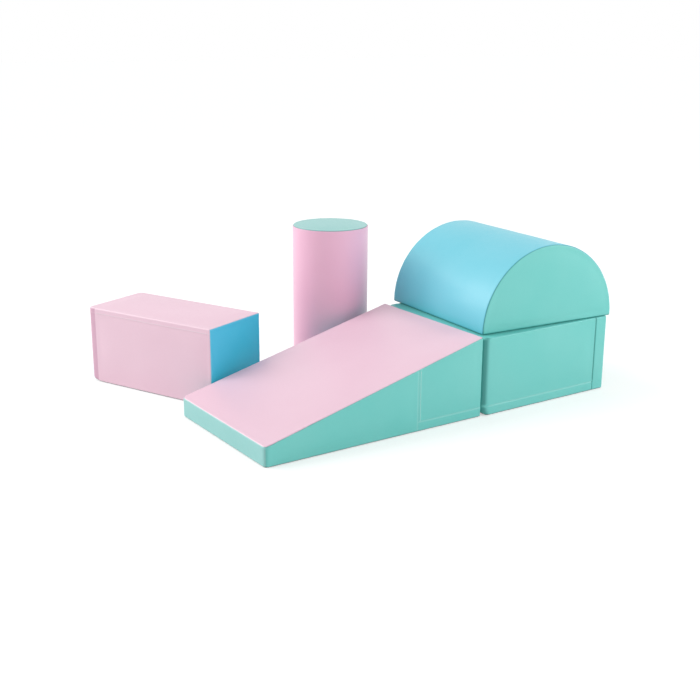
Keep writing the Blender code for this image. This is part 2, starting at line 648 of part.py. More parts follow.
def make_bar(root):
    """The long square block that stands loose on the floor."""
    sides = box_sides(BAR_LENGTH, BAR_WIDTH, BAR_HEIGHT, crowned=("near", "left", "right", "top"))
    corner = Vector((LOW_END_X + BAR_CORNER_FROM_LOW_END, RAMP_FAR_Y + BAR_CLEARANCE, 0))
    inward = Vector((-BAR_LENGTH / 2, BAR_WIDTH / 2, 0))
    bar = Block("bar", root, corner + Matrix.Rotation(BAR_YAW, 3, "Z") @ inward, BAR_YAW, sides)
    left_edges = [("left", "near"), ("far", "left"), ("left", "under")]
    bar.take_foam(box_foam(BAR_LENGTH, BAR_WIDTH, BAR_HEIGHT), soft=left_edges)
    seam_x = BAR_SEAM_FROM_LEFT - BAR_LENGTH / 2
    bar.seam("near", X * seam_x, X)
    bar.add_panel("top_panel", "pink_cover", "top")
    bar.add_panel("near_side_panel", "pink_cover", "near", lambda co: past(co.x, seam_x))
    bar.add_panel("near_corner_strip", "pink_cover", "near", lambda co: before(co.x, seam_x))
    bar.add_panel("left_end_panel", "blue_cover", "left")
    bar.add_panel("right_end_panel", "blue_cover", "right")
    bar.add_panel("underside", "non_slip_base", "under")
    zipped_far_side(bar, "pink_cover", BAR_WIDTH / 2, BAR_LENGTH - 2 * ZIP_END_MARGIN)


def make_cylinder(root):
    """The round block that stands on end, with an upright zip at its far side."""
    radius = CYLINDER_DIAMETER / 2 - SKIN
    sides = [
        Side("wrap", depth=lambda co: radius - math.hypot(co.x, co.y)),
        Side("top", point=Z * (CYLINDER_HEIGHT - SKIN), normal=Z, crown=CROWN),
        Side("foot", point=Z * SKIN, normal=-Z),
    ]
    place_y = RAMP_FAR_Y + CYLINDER_CLEARANCE + CYLINDER_DIAMETER / 2
    cylinder = Block("cylinder", root, (TALL_END_X - CYLINDER_FROM_TALL_END, place_y, 0), 0.0, sides)
    bm = bmesh.new()
    facet = 2 * math.pi / CYLINDER_FACETS
    bmesh.ops.create_cone(bm, cap_ends=True, segments=CYLINDER_FACETS, radius1=radius, radius2=radius,
                          depth=CYLINDER_HEIGHT - 2 * SKIN, matrix=Matrix.Rotation(facet / 2, 4, "Z"))
    bmesh.ops.translate(bm, vec=Z * (CYLINDER_HEIGHT / 2), verts=bm.verts)
    crease = radius * math.cos(DISC_CREASE_FACETS * facet)
    slice_mesh(bm, X, (-crease, crease))
    slice_mesh(bm, Y, (-crease, crease))
    cylinder.take_foam(bm)
    run = CYLINDER_HEIGHT - CYLINDER_ZIP_FROM_FOOT - CYLINDER_ZIP_FROM_TOP
    facet_face = radius * math.cos(facet / 2) + SKIN
    fastener = Zip(Vector((0, facet_face, CYLINDER_ZIP_FROM_FOOT + run / 2)), Z, Y, run)
    fastener.crease(cylinder, "wrap")
    cylinder.add_panel("side_wrap", "pink_cover", "wrap",
                       lambda co: not fastener.shows(co) and not (co.y > 0 and abs(co.x) < GAP / 2))
    cylinder.add_panel("top_disc", "teal_cover", "top")
    cylinder.add_panel("foot_disc", "non_slip_base", "foot")
    add_zip(cylinder, cylinder.add_core(), fastener)


def footprint_middle(items):
    """The middle of the set's bounding box, at floor level."""
    graph = bpy.context.evaluated_depsgraph_get()
    places = []
    for item in items:
        seen = item.evaluated_get(graph)
        places += [seen.matrix_world @ vertex.co for vertex in seen.data.vertices]
    middle_x = (min(p.x for p in places) + max(p.x for p in places)) / 2
    middle_y = (min(p.y for p in places) + max(p.y for p in places)) / 2
    return Vector((middle_x, middle_y, min(p.z for p in places)))


clear_scene()
PARTS = collection("foam_play_set")
CUTTERS = collection("cutters")
SLIDER = slider_mesh()
PULL = pull_mesh()
ROOT = add_empty("set_origin", None, Matrix.Identity(4))
make_base(ROOT)
make_ramp(ROOT)
make_half_round(ROOT)
make_bar(ROOT)
make_cylinder(ROOT)
bpy.context.view_layer.update()
ROOT.location = -footprint_middle([item for item in PARTS.objects if item.type == "MESH"])
bpy.context.view_layer.update()
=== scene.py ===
"""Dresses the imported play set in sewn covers, zips and hook-and-loop tape, and sets its stage.

Each block is modelled in its own frame, with X along its length, Y away from the side that is looked
at, Z up and the origin in the middle of its underside. A finished piece is moved to the block's place
and that move is applied, so its object sits at the origin.
"""
import json
import math

import bmesh
import bpy
import numpy as np
from bpy.props import FloatProperty, FloatVectorProperty, IntProperty, PointerProperty
from mathutils import Matrix, Vector, bvhtree, kdtree, noise

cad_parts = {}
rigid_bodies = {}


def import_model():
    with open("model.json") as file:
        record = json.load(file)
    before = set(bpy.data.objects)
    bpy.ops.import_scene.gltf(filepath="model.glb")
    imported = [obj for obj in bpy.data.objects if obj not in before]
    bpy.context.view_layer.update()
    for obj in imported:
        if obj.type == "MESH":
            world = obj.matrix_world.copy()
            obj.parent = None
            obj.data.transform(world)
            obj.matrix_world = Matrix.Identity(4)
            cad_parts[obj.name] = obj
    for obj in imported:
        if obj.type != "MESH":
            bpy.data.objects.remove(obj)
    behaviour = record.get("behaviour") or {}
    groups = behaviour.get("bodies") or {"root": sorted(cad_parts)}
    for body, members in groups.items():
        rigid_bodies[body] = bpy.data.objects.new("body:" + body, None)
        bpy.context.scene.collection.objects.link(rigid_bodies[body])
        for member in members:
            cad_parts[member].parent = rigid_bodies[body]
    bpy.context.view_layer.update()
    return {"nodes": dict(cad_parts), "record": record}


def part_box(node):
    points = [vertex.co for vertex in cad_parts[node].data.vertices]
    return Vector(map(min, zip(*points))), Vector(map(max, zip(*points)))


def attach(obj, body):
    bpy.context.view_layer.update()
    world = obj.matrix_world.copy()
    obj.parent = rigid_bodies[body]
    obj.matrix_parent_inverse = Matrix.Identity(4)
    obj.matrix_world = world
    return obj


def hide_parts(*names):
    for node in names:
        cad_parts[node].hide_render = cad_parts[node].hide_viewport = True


bl_info = {
    "name": "Foam play set",
    "version": (1, 0, 0),
    "blender": (4, 5, 0),
    "location": "3D View > Sidebar > Play Set",
    "description": "Sews the covers of five soft play blocks and sets the stage round them",
    "category": "Add Mesh",
}

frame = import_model()
IMAGE_SIZE = 700
SENSOR_WIDTH = 36.0         # in millimetres
CLIP = (0.05, 100.0)        # the nearest and farthest that the camera sees
X, Y, Z = Vector((1, 0, 0)), Vector((0, 1, 0)), Vector((0, 0, 1))
MOUNTS = {mount["name"]: Vector(mount["pos_m"]) for mount in frame["record"]["mounts"]}

# Tests and tolerances
TINY = 1e-9                 # keeps a division off zero
CLOSE = 1e-5                # vertices nearer than this are taken as one, or as level
CUT_THRESHOLD = 1e-6        # a cut uses a vertex that is nearer than this
FLAT, NEARLY_FLAT = 0.999, 0.9      # dot product with a direction, over which a face faces it
MANY = 8                    # a face with more corners than this is a whole end
SHARP_ANGLE = math.radians(30)      # over it, an edge of a blank is rounded
COVER_SMOOTH_ANGLE = math.radians(40)
FITTING_SMOOTH_ANGLE = math.radians(35)

# How blanks are cut. Lengths are in metres here and below.
CRISP_MARGIN, SOFT_MARGIN = 0.0015, 0.001   # from a crisp or soft edge's end to the first cut
NEAR_FACE_DEPTH = 0.002     # how deep a point may lie and still be on a block's near face
WINDOW_DEPTH = 0.015        # how far in and out a zip's window cuts the cover
FAN_ROWS = 12               # how many rows of cells a fan of cuts makes
FAN_CLOSE = (11.3, 11.55, 11.75)    # the cuts that lie closer together, under the fan's last row
CYLINDER_STEPS = 96
DISC_RINGS = (0.002, 0.003, 0.005, *[0.0095] * 10)  # widths of the rings cut into a round end
ROUND_STEPS = 160           # steps of the whole round that a half round is cut from
ROUND_FOOT = 0.015          # height under which the arch is one straight step
UNDER_CUTS = 24             # cuts across a half round's underside
END_RINGS = (0.003, 0.003, 0.006)   # widths of the rings cut inside a half round's rim
RIM_OVERLAP = 0.001         # how far the grid in a half round's end reaches over its last ring
RIM_WIDTH = 0.03            # from a half round's rim to the first cut of that grid
RIM_THRESHOLD = 0.0015      # how near a vertex such a cut is moved onto it
HANG_MARGIN, HANG_REACH, HANG_HEIGHT = 0.065, 0.05, 0.012   # where a half round's foot hangs down

# How covers are filled and sewn
CLOTH = {"quality": 5, "mass": 0.3, "tension_stiffness": 15, "compression_stiffness": 15,
         "shear_stiffness": 8, "bending_stiffness": 2.0, "vertex_group_mass": "Pins",
         "use_pressure": True}
CLOTH_FRAMES = 20
PIN_REACH = 1.25            # distance from a seam, in soft edges, at which the cloth is free
SMOOTH_PASSES = 4
SEED_STRETCH, SEED_LIFT = 2.7, 0.3  # what keeps one block's noise apart from another's
SEAM_SAMPLES = (0.0, 0.25, 0.5, 0.75, 1.0)  # places along a seam's edge that distances are taken to
SEAM_LEVELS = (0.25, 0.9)   # the line's levels at which a seam's painted shade and painted highlight start to show and are full
FAR = 1.0                   # a distance at which a ridge has no effect

# Grain and relief of the finishes
GRAIN_WARP = 0.0012         # how far the leather grain's creases are thrown off their even cells
UNEVEN_DEEP, UNEVEN_PALE = 0.02, 0.03       # how much deeper and paler a cover is here and there
CREASE_SHARE, CREASE_DEPTH = 0.35, 0.12     # how much painted shade the grain's creases get, and how deep
FOLD_SHADE_SHARE, FOLD_SHADE_DEPTH = 0.85, 0.55         # the same of the painted shade at seams, corners and gaps
HIGHLIGHT_SHARE, HIGHLIGHT_PALE = 0.3, 0.5      # how much the painted highlight on seams and hems shows, and how pale
ROUGHNESS_SPREAD = (-0.04, 0.05)            # how far a cover's roughness goes under and over its mean
COAT_ROUGHNESS = 0.28
GAP_SHARE, GAP_DEPTH = 0.5, 0.4             # how much painted shade the gaps between threads get, and how deep
PORE_DEPTH, TUFT_DEPTH = 0.3, 0.45          # how deep the painted shade in the foam's pores is, and in the gaps between tufts
DOT_PITCH = 0.007           # spacing of the non-slip cloth's dots
PITCHES = {"Non-slip cloth": 0.0012, "Hook and loop tape": 0.0014, "Zip tape": 0.0007, "Thread": 0.0004}

# Zips, strips and stitches
END_SPARE = 0.003           # how far tapes run past a zip's end, and its coil stops short of it
END_SUNK = 0.0003           # how far a zip's stops keep from its end, and its tapes from its slit
TAPE_RIM, COIL_RIM, STOP_RIM = 0.00015, 0.00032, 0.0006     # their edges' bevels
TAPE_STEP, TAPE_DROP = 0.0004, 0.0001   # width and depth of a tape's step beside its coil
STRIP_CORNER = 0.004        # radius of a strip's corners
PILE_SPARE = 0.0001         # how far over its border a strip's pile may start
PILE_DEPTH = 0.1            # share of the strip's upper half that is under the pile
ZIP_STITCH = 0.0018         # from a zip's window to the stitches round it
HEM_START, HEM_END = 0.005, 0.008       # from the seams at a hem's ends to its first and last stitch
STITCH_SUNK, STITCH_PROUD = 0.0002, 0.0004      # how far a stitch reaches under and over its middle
STITCH_LIFT = 0.0001        # how far over the cover that middle lies
STITCH_RIM = 0.3            # share of the thread's width that is bevelled
SEAT_REACH = 0.02           # how far over and under the cover a stitch looks for it
METAL_RIM = 0.00012         # bevel of the metal's edges that are sharper than the angle
METAL_ANGLE = math.radians(40)


# Settings that a user would change

def length(name, description, default):
    return FloatProperty(name=name, description=description, default=default, min=0.0, precision=5,
                         unit="LENGTH", subtype="DISTANCE")


def share(name, description, default):
    return FloatProperty(name=name, description=description, default=default, min=0.0, max=1.0,
                         subtype="FACTOR")


def colour(name, description, default):
    return FloatVectorProperty(name=name, description=description, default=default, min=0.0, max=1.0,
                               subtype="COLOR")


def strength(name, description, default):
    return FloatProperty(name=name, description=description, default=default, min=0.0)


def power(name, description, default):
    return FloatProperty(name=name, description=description, default=default, min=0.0, unit="POWER")


def spot(name, description, default):
    return FloatVectorProperty(name=name, description=description, default=default,
                               subtype="TRANSLATION", unit="LENGTH")


def degrees(name, description, default):
    return FloatProperty(name=name, description=description, default=math.radians(default),
                         subtype="ANGLE", unit="ROTATION")


class PlaySetSizes(bpy.types.PropertyGroup):
    """The blocks' sizes over their covers, and how far two of them are turned."""

    shared_width: length("Shared width", "Width of the blocks that join", 0.500)
    ramp_length: length("Ramp length", "Length of the ramp on the floor", 0.750)
    ramp_low_height: length("Ramp low height", "Height of the ramp's low end", 0.060)
    ramp_tall_height: length("Ramp tall height", "Height of the ramp's tall end", 0.250)
    ramp_seam: length("Ramp seam", "Upright seam's distance from the ramp's low end", 0.510)
    base_length: length("Base length", "Length of the square block", 0.514)
    base_height: length("Base height", "Height of the square block", 0.2435)
    base_seam: length("Base seam", "Upright seam's distance from the square block's right end", 0.050)
    half_round_span: length("Half round span", "Span of the half round", 0.508)
    half_round_rise: length("Half round rise", "Height of the half round", 0.250)
    half_round_yaw: degrees("Half round turn", "Turn of the half round on the square block", -3.9)
    bar_length: length("Bar length", "Length of the loose bar", 0.510)
    bar_width: length("Bar width", "Width of the loose bar", 0.250)
    bar_height: length("Bar height", "Height of the loose bar", 0.250)
    bar_seam: length("Bar seam", "Upright seam's distance from the bar's left end", 0.030)
    bar_yaw: degrees("Bar turn", "Turn of the bar on the floor", -66.47)
    cylinder_diameter: length("Cylinder diameter", "Diameter of the cylinder", 0.250)
    cylinder_height: length("Cylinder height", "Height of the cylinder", 0.500)
    band_height: length("Band height", "Height of the seam along the foot of a side", 0.030)


class PlaySetCovers(bpy.types.PropertyGroup):
    """How the covers are cut, filled and sewn."""

    soft_edge: length("Soft edge", "Radius of the foam's roundest edges", 0.026)
    eased_edge: length("Eased edge", "Radius of the foam's other plain edges", 0.008)
    crisp_edge: length("Crisp edge", "Radius of an edge that a seam draws in", 0.004)
    tight_edge: length("Tight edge", "Radius of the edges where two blocks meet", 0.0036)
    edge_steps: IntProperty(name="Edge steps", description="Faces across a rounded edge", default=6, min=2)
    thickness: length("Cover thickness", "Thickness of the coated cloth", 0.0012)
    grid: length("Grid", "Spacing of the cuts that let a cover bulge", 0.010)
    crown: length("Crown", "How far the foam may push a side out", 0.0040)
    pressure: strength("Fill pressure", "Pressure of the foam in the cloth simulation", 4.0)
    seam_depth: length("Seam depth", "How deep a seam draws the cover in", 0.0014)
    seam_width: length("Seam width", "Half width of the fold at a seam", 0.0020)
    seam_roll: length("Seam roll", "Height of the turned cloth beside a seam", 0.0004)
    seam_roll_reach: length("Seam roll reach", "Distance of that roll from the seam", 0.006)
    pucker_depth: length("Pucker depth", "Depth of the small puckers across a seam", 0.0005)
    pucker_pitch: length("Pucker pitch", "Spacing of the puckers along a seam", 0.016)
    pucker_reach: length("Pucker reach", "How far the puckers run from a seam", 0.012)
    ripple: length("Ripple", "Height of the broad unevenness of a soft side", 0.0005)
    ripple_size: length("Ripple size", "Spacing of that unevenness", 0.11)
    ridge_height: length("Ridge height", "Height of a turned-in edge that shows through", 0.0008)
    ridge_width: length("Ridge width", "Half width of that ridge", 0.0022)
    hem: length("Hem", "Distance of a turned-in edge from its seam", 0.008)
    seam_blend: length("Seam blend", "Distance over which one kind of seam turns into the next", 0.006)
    # a painted highlight along a hem's ridge
    ridge_highlight: share("Ridge highlight", "How pale a hem's ridge shows", 0.6)
    foot_lift: length("Foot lift", "How far a worn left foot is rounded upwards", 0.012)
    foot_sag: length("Foot sag", "How far a resting foot's rim hangs round its strips", 0.0025)
    core_inset: length("Core inset", "How far the foam lies inside the cover", 0.0034)


class PlaySetFittings(bpy.types.PropertyGroup):
    """Sizes of the zips, the hook-and-loop strips and the stitches."""

    zip_window: length("Zip window", "Width of the slot in the cover over a zip", 0.0096)
    zip_end_margin: length("Zip end margin", "Distance of a zip from a block's end", 0.0725)
    ramp_zip_run: length("Ramp zip run", "Length of the ramp's zip", 0.360)
    cylinder_zip_foot: length("Cylinder zip foot", "Distance of the zip from the cylinder's foot", 0.045)
    cylinder_zip_top: length("Cylinder zip top", "Distance of the zip from the cylinder's top", 0.095)
    tape_reach: length("Zip tape reach", "Distance of a tape's outer edge from the zip's middle", 0.0088)
    tape_top: length("Zip tape depth", "Depth of the tapes under the cover's outside", 0.0015)
    tape_thickness: length("Zip tape thickness", "Thickness of the zip's tapes", 0.0006)
    coil_reach: length("Coil reach", "Distance of the coil's outer edge from the zip's middle", 0.0027)
    coil_slit: length("Coil slit", "Half width of the slit between the coil's rows", 0.0006)
    coil_height: length("Coil height", "Height of the coil over its tapes", 0.0020)
    coil_pitch: length("Coil pitch", "Spacing of the coil's turns", 0.0015)
    coil_wire: length("Coil wire", "Width of one turn of the coil", 0.0010)
    end_stop: length("End stop", "Length of the stop at each end of a zip", 0.0027)
    strip_width: length("Strip width", "Width of a hook or loop strip", 0.050)
    strip_length: length("Strip length", "Length of a hook or loop strip", 0.360)
    strip_thickness: length("Strip thickness", "Thickness of a hook or loop strip", 0.0010)
    strip_border: length("Strip border", "Width of a strip's bare woven edge", 0.003)
    stitch_length: length("Stitch length", "Length of a stitch on the outside", 0.0030)
    stitch_pitch: length("Stitch pitch", "Spacing of the stitches", 0.0042)
    stitch_width: length("Stitch width", "Thickness of the thread", 0.0006)


class PlaySetFinishes(bpy.types.PropertyGroup):
    """Colours and grain of the covers and fittings."""

    pink: colour("Pink", "Cover of the slope and the bar", (0.85, 0.58, 0.69))
    # A deeper copy of the pink for the bar's corner strip: painted shade of the bar's rounded left upright
    deep_pink: colour("Deep pink", "Cover of the bar's corner strip", (0.71, 0.41, 0.54))
    # A deeper, more saturated copy of the pink for the cylinder's side: painted shade where the side reflects
    # less of the white surround
    rose: colour("Rose", "Cover of the cylinder's side", (0.92, 0.53, 0.70))
    teal: colour("Teal", "Cover of the upright sides", (0.150, 0.59, 0.55))
    # A paler copy of the teal: painted sheen of the white surround, on the ramp's low end and on the
    # cylinder's top disc
    pale_teal: colour("Pale teal", "Cover of the ramp's low end", (0.275, 0.60, 0.58))
    sky_blue: colour("Sky blue", "Cover of the half round's arch", (0.15, 0.61, 0.74))
    blue: colour("Blue", "Cover of the bar's ends", (0.045, 0.57, 0.81))
    grey: colour("Grey", "Non-slip cloth of the undersides", (0.22, 0.24, 0.25))
    foam: colour("Foam", "Foam of the cores", (0.86, 0.84, 0.74))
    tape: colour("Tape", "Cloth of the zips and strips", (0.24, 0.60, 0.56))
    thread: colour("Thread", "Sewing thread", (0.80, 0.82, 0.82))
    metal: colour("Metal", "Zip sliders and pulls", (0.62, 0.63, 0.65))
    roughness: share("Roughness", "Roughness of the coated covers", 0.42)
    gloss: share("Gloss", "Weight of the thin clear coating", 0.20)
    grain_size: length("Grain size", "Width of the leather grain's pebbles", 0.0013)
    grain_depth: length("Grain depth", "Depth of the leather grain", 0.00012)


class PlaySetStage(bpy.types.PropertyGroup):
    """The camera, the lamps and the floor."""

    camera_place: spot("Camera place", "Where the camera stands", (-1.9666, -2.9347, 1.1392))
    camera_yaw: degrees("Camera turn", "Turn of the view from +Y towards +X", 34.138)
    camera_pitch: degrees("Camera dip", "Dip of the view below the horizon", 16.385)
    camera_roll: degrees("Camera roll", "Roll of the camera", 0.318)
    focal_pixels: FloatProperty(name="Focal length", description="Focal length in pixels of the picture",
                                default=1110.2, min=100.0, subtype="PIXEL")
    sky: strength("Sky", "Strength of the even light from all round", 0.63)
    key_place: spot("Key place", "Where the light from the upper left comes from", (-0.72, 0.58, 0.92))
    key_strength: strength("Key strength", "Strength of that light", 0.95)
    key_spread: degrees("Key spread", "How wide that light's source looks", 35.0)
    fill_place: spot("Fill place", "Where the large lamp at the front right stands", (2.4, -2.6, 1.6))
    fill_power: power("Fill power", "Power of the large lamp at the front right", 44.0)
    rear_place: spot("Rear place", "Where the large lamp at the rear left stands", (-2.7, 3.2, 2.0))
    rear_power: power("Rear power", "Power of the large lamp at the rear left", 58.0)
    lamp_aim: spot("Lamp aim", "What the two large lamps point at", (0.2, -0.2, 0.2))
    lamp_size: length("Lamp size", "Diameter of the two large lamps", 2.2)
    floor: colour("Floor", "Colour of the floor", (0.93, 0.95, 0.94))
    floor_whiteness: share("Floor whiteness", "Share of the floor that is white in any light", 0.36)
    floor_glow: strength("Floor glow", "Strength of that white", 1.38)
    floor_size: length("Floor size", "Width of the floor", 60.0)
    floor_drop: length("Floor drop", "How far the floor lies under the blocks", 0.0005)


def settings_of(scene):
    """The sizes, the covers' settings and the fittings' settings."""
    return scene.play_set_sizes, scene.play_set_covers, scene.play_set_fittings


# Selecting and shaping

def deselect_all():
    if bpy.context.object and bpy.context.object.mode != "OBJECT":
        bpy.ops.object.mode_set(mode="OBJECT")
    bpy.ops.object.select_all(action="DESELECT")


def only(obj):
    deselect_all()
    obj.select_set(True)
    bpy.context.view_layer.objects.active = obj


def edit(obj):
    only(obj)
    bpy.ops.object.mode_set(mode="EDIT")


def leave():
    bpy.ops.object.mode_set(mode="OBJECT")


def choose(obj, kind, test):
    """In edit mode, select the verts, edges or faces that pass a test, and nothing else."""
    bpy.ops.mesh.select_mode(type=kind)
    bpy.ops.mesh.select_all(action="DESELECT")
    bm = bmesh.from_edit_mesh(obj.data)
    for item in {"VERT": bm.verts, "EDGE": bm.edges, "FACE": bm.faces}[kind]:
        if test(item):
            item.select_set(True)
    bmesh.update_edit_mesh(obj.data)


def add_modifier(obj, kind, **settings):
    only(obj)
    bpy.ops.object.modifier_add(type=kind)
    step = obj.modifiers[-1]
    for name, value in settings.items():
        setattr(step, name, value)
    return step


def modify(obj, kind, **settings):
    """Add a modifier, set it and apply it."""
    step = add_modifier(obj, kind, **settings)
    bpy.ops.object.modifier_apply(modifier=step.name)


def settle(obj, matrix=Matrix.Identity(4)):
    """Move a piece by a matrix and apply the move, so that its object sits at the origin."""
    only(obj)
    obj.matrix_world = matrix @ obj.matrix_world
    bpy.ops.object.transform_apply(location=True, rotation=True, scale=True)


def duplicate(obj, name):
    only(obj)
    bpy.ops.object.duplicate()
    made = bpy.context.object
    made.name = made.data.name = name
    return made


def add_cube(name, low, high):
    """A cube primitive stretched between two corners."""
    low, high = Vector(low), Vector(high)
    deselect_all()
    bpy.ops.mesh.primitive_cube_add(size=1.0, location=(low + high) / 2)
    made = bpy.context.object
    made.name = made.data.name = name
    made.scale = high - low
    settle(made)
    return made


def cut(obj, axis, places):
    """Cut the mesh all round at each place along an axis."""
    edit(obj)
    for place in places:
        bpy.ops.mesh.select_all(action="SELECT")
        bpy.ops.mesh.bisect(plane_co=axis * place, plane_no=axis, threshold=CUT_THRESHOLD)
    leave()


def cut_fan(obj, apex, angles):
    """Cut the mesh by planes that fan out from a level line across it."""
    edit(obj)
    for angle in angles:
        bpy.ops.mesh.select_all(action="SELECT")
        bpy.ops.mesh.bisect(plane_co=apex, plane_no=(-math.sin(angle), 0, math.cos(angle)),
                            threshold=CUT_THRESHOLD)
    leave()


def ring_end(obj, test, steps):
    """Inset an end face again and again, so that it can bulge, and close it at its middle."""
    edit(obj)
    choose(obj, "FACE", test)
    for step in steps:
        bpy.ops.mesh.inset(thickness=step, use_even_offset=True)
    bpy.ops.mesh.poke()
    leave()


SEAM_REACH = (0.0024, 0.008)


def around(seam):
    """A cut on a seam and closer ones beside it."""
    return sorted({seam + side * reach for reach in (0.0, *SEAM_REACH) for side in (-1, 1)})


def cut_places(low, high, grid, seams=()):
    """Even cuts between two ends, with closer ones on and beside each seam."""
    close = [place for seam in seams for place in around(seam) if low <= place <= high]
    marks = sorted({low, high, *close})
    places = []
    for start, end in zip(marks, marks[1:]):
        count = max(1, round((end - start) / grid))
        places += [start + (end - start) * step / count for step in range(count)]
    return places + [high]


def slot_edges(seam, scene):
    """The two edges of the slot that a zip in the seam shows through."""
    half = scene.play_set_fittings.zip_window / 2
    return [seam - half, seam + half]


class Ends:
    """The cuts between two ends of a block, which start just inside the ends' rounded edges."""

    def __init__(self, covers):
        self.grid = covers.grid
        self.soft = covers.soft_edge + SOFT_MARGIN
        self.crisp = covers.crisp_edge + CRISP_MARGIN

    def places(self, low, high, seams=(), low_crisp=True):
        low += self.crisp if low_crisp else self.soft
        high -= self.crisp
        return cut_places(low, high, self.grid, [*seams, *([low] * low_crisp), high])


# Reading and writing a mesh as arrays

def positions(mesh):
    flat = np.empty(3 * len(mesh.vertices), np.float32)
    mesh.vertices.foreach_get("co", flat)
    return flat.reshape(-1, 3).astype(float)


def outward(mesh):
    flat = np.empty(3 * len(mesh.vertices), np.float32)
    mesh.vertex_normals.foreach_get("vector", flat)
    return flat.reshape(-1, 3).astype(float)


def move_to(mesh, places):
    mesh.vertices.foreach_set("co", places.astype(np.float32).ravel())
    mesh.update()


def face_numbers(mesh):
    """The panel number of each face, which is its material index."""
    numbers = np.empty(len(mesh.polygons), np.int32)
    mesh.polygons.foreach_get("material_index", numbers)
    return numbers


def panel_borders(mesh):
    """The edges between two panels: each one's two vertices and its two panels' numbers."""
    numbers = face_numbers(mesh)
    totals = np.empty(len(mesh.polygons), np.int32)
    mesh.polygons.foreach_get("loop_total", totals)
    of_loop = np.repeat(numbers, totals)
    edge_of_loop = np.empty(len(mesh.loops), np.int32)
    mesh.loops.foreach_get("edge_index", edge_of_loop)
    order = np.argsort(edge_of_loop, kind="stable")
    edges, panels = edge_of_loop[order], of_loop[order]
    twin = np.nonzero((edges[1:] == edges[:-1]) & (panels[1:] != panels[:-1]))[0]
    ends = np.empty(2 * len(mesh.edges), np.int32)
    mesh.edges.foreach_get("vertices", ends)
    ends = ends.reshape(-1, 2)[edges[twin]]
    return ends, np.sort(np.stack([panels[twin], panels[twin + 1]], 1), axis=1)


# Blocks

class Side:
    """One side of a block, with the direction that it faces at any point."""

    def __init__(self, name, facing, rests=False):
        self.name = name
        self.facing = facing if callable(facing) else lambda co: facing
        self.rests = rests


# Each cloth's finish, and the slot of the pieces that are cut from it
# deep pink is the pink with painted shade of the bar's rounded upright
CLOTHS = {"pink": ("Pink cover", "pink_cover"), "deep pink": ("Deep pink cover", "pink_cover"),
          # rose is the pink with painted shade on the cylinder's side
          "rose": ("Rose cover", "pink_cover"), "teal": ("Teal cover", "teal_cover"),
          # pale teal and disc teal are the teal with painted sheen of the white surround
          "pale teal": ("Pale teal cover", "pale_teal_cover"), "disc teal": ("Pale teal cover", "teal_cover"),
          "sky blue": ("Sky blue cover", "sky_blue_cover"), "blue": ("Blue cover", "blue_cover"),
          "non-slip": ("Non-slip cloth", "non_slip_base")}


class Panel:
    """One piece of a cover: its CAD node, its side, its cloth and which part of the side it takes."""

    def __init__(self, node, side, cloth, takes=None):
        self.node = node
        self.side = side
        self.finish, self.slot = CLOTHS[cloth]
        self.takes = takes or (lambda co: True)


# How each kind of seam shows: its depth, its painted tint from pale highlight (-1) to dark shade (1), and its
# breadth
# Each dark kind paints shade: in a seam's groove, on a rounded corner, in the gap beside another block, under
# a resting foot; the pale kind paints a highlight
SEAM_KINDS = {"plain": (1.0, 1.0, 1.0), "fold": (0.1, 0.3, 1.0), "soft": (1.0, 0.45, 1.4),
              "corner": (0.1, 0.5, 4.0), "shaded": (0.2, 1.0, 6.0), "pale": (0.5, -0.6, 2.4),
              "shadow_gap": (1.0, 1.0, 1.8)}


class Block:
    """A block to be sewn: its sides and panels, and what its edges and seams are like.

    Panels are rows of a panel's name after the block's, its side, its cloth and its part of the side.
    Uprights maps pairs of sides to the radius of the upright edge between them, and rim is the radius of
    the other edges. Seams gives a kind of seam its pairs of panels. Ridge gives a point's distance from a
    ridge, and foot is the lowest level that the cover may reach."""

    def __init__(self, name, scene, sides, panels, rim, uprights=None, seams=None, ridge=None, foot=0.0):
        self.name = name
        self.frame = frame_of(name, scene.play_set_sizes)
        self.covers = scene.play_set_covers
        self.sides = sides
        self.panels = [Panel(f"{name}_{part}", *rest) for part, *rest in panels]
        self.rim = rim
        self.uprights = {frozenset(pair): radius for pair, radius in (uprights or {}).items()}
        self.seams = {frozenset(f"{name}_{part}" for part in pair): kind
                      for kind, pairs in (seams or {}).items() for pair in pairs}
        self.ridge = ridge
        self.window = window_of(name, scene)
        self.foot = foot

    def side_of(self, co, normal):
        return max(self.sides, key=lambda side: side.facing(co).dot(normal))

    def panel_number(self, co, normal):
        side = self.side_of(co, normal)
        for number, panel in enumerate(self.panels):
            if panel.side == side.name and panel.takes(co):
                return number
        raise RuntimeError(f"{self.name}: no panel covers {tuple(co)} on the {side.name} side")


def round_edges(obj, block):
    """Round the named upright edges first, and then all edges that are still sharp."""
    covers = block.covers
    for named in (True, False):
        bm = bmesh.new()
        bm.from_mesh(obj.data)
        layers = bm.edges.layers.float
        weights = layers.get("bevel_weight_edge") or layers.new("bevel_weight_edge")
        for edge in bm.edges:
            edge[weights] = 0.0
            if edge.calc_face_angle(0.0) > SHARP_ANGLE:
                pair = frozenset(block.side_of(face.calc_center_median(), face.normal).name
                                 for face in edge.link_faces)
                radius = block.uprights.get(pair, 0.0) if named else block.rim
                edge[weights] = radius / covers.soft_edge
        bm.to_mesh(obj.data)
        bm.free()
        if not named or block.uprights:
            modify(obj, "BEVEL", width=covers.soft_edge, segments=covers.edge_steps,
                   limit_method="WEIGHT")


def lift_foot(obj, end, reach, lift):
    """Round the foot of a block's left end upwards, where the foam is worn soft."""
    places = positions(obj.data)
    inward = np.clip((places[:, 0] - end) / reach, 0, 1)
    upward = np.clip(places[:, 2] / reach, 0, 1)
    places[:, 2] += lift * (1 - inward) ** 2 * (1 - upward) ** 2
    move_to(obj.data, places)


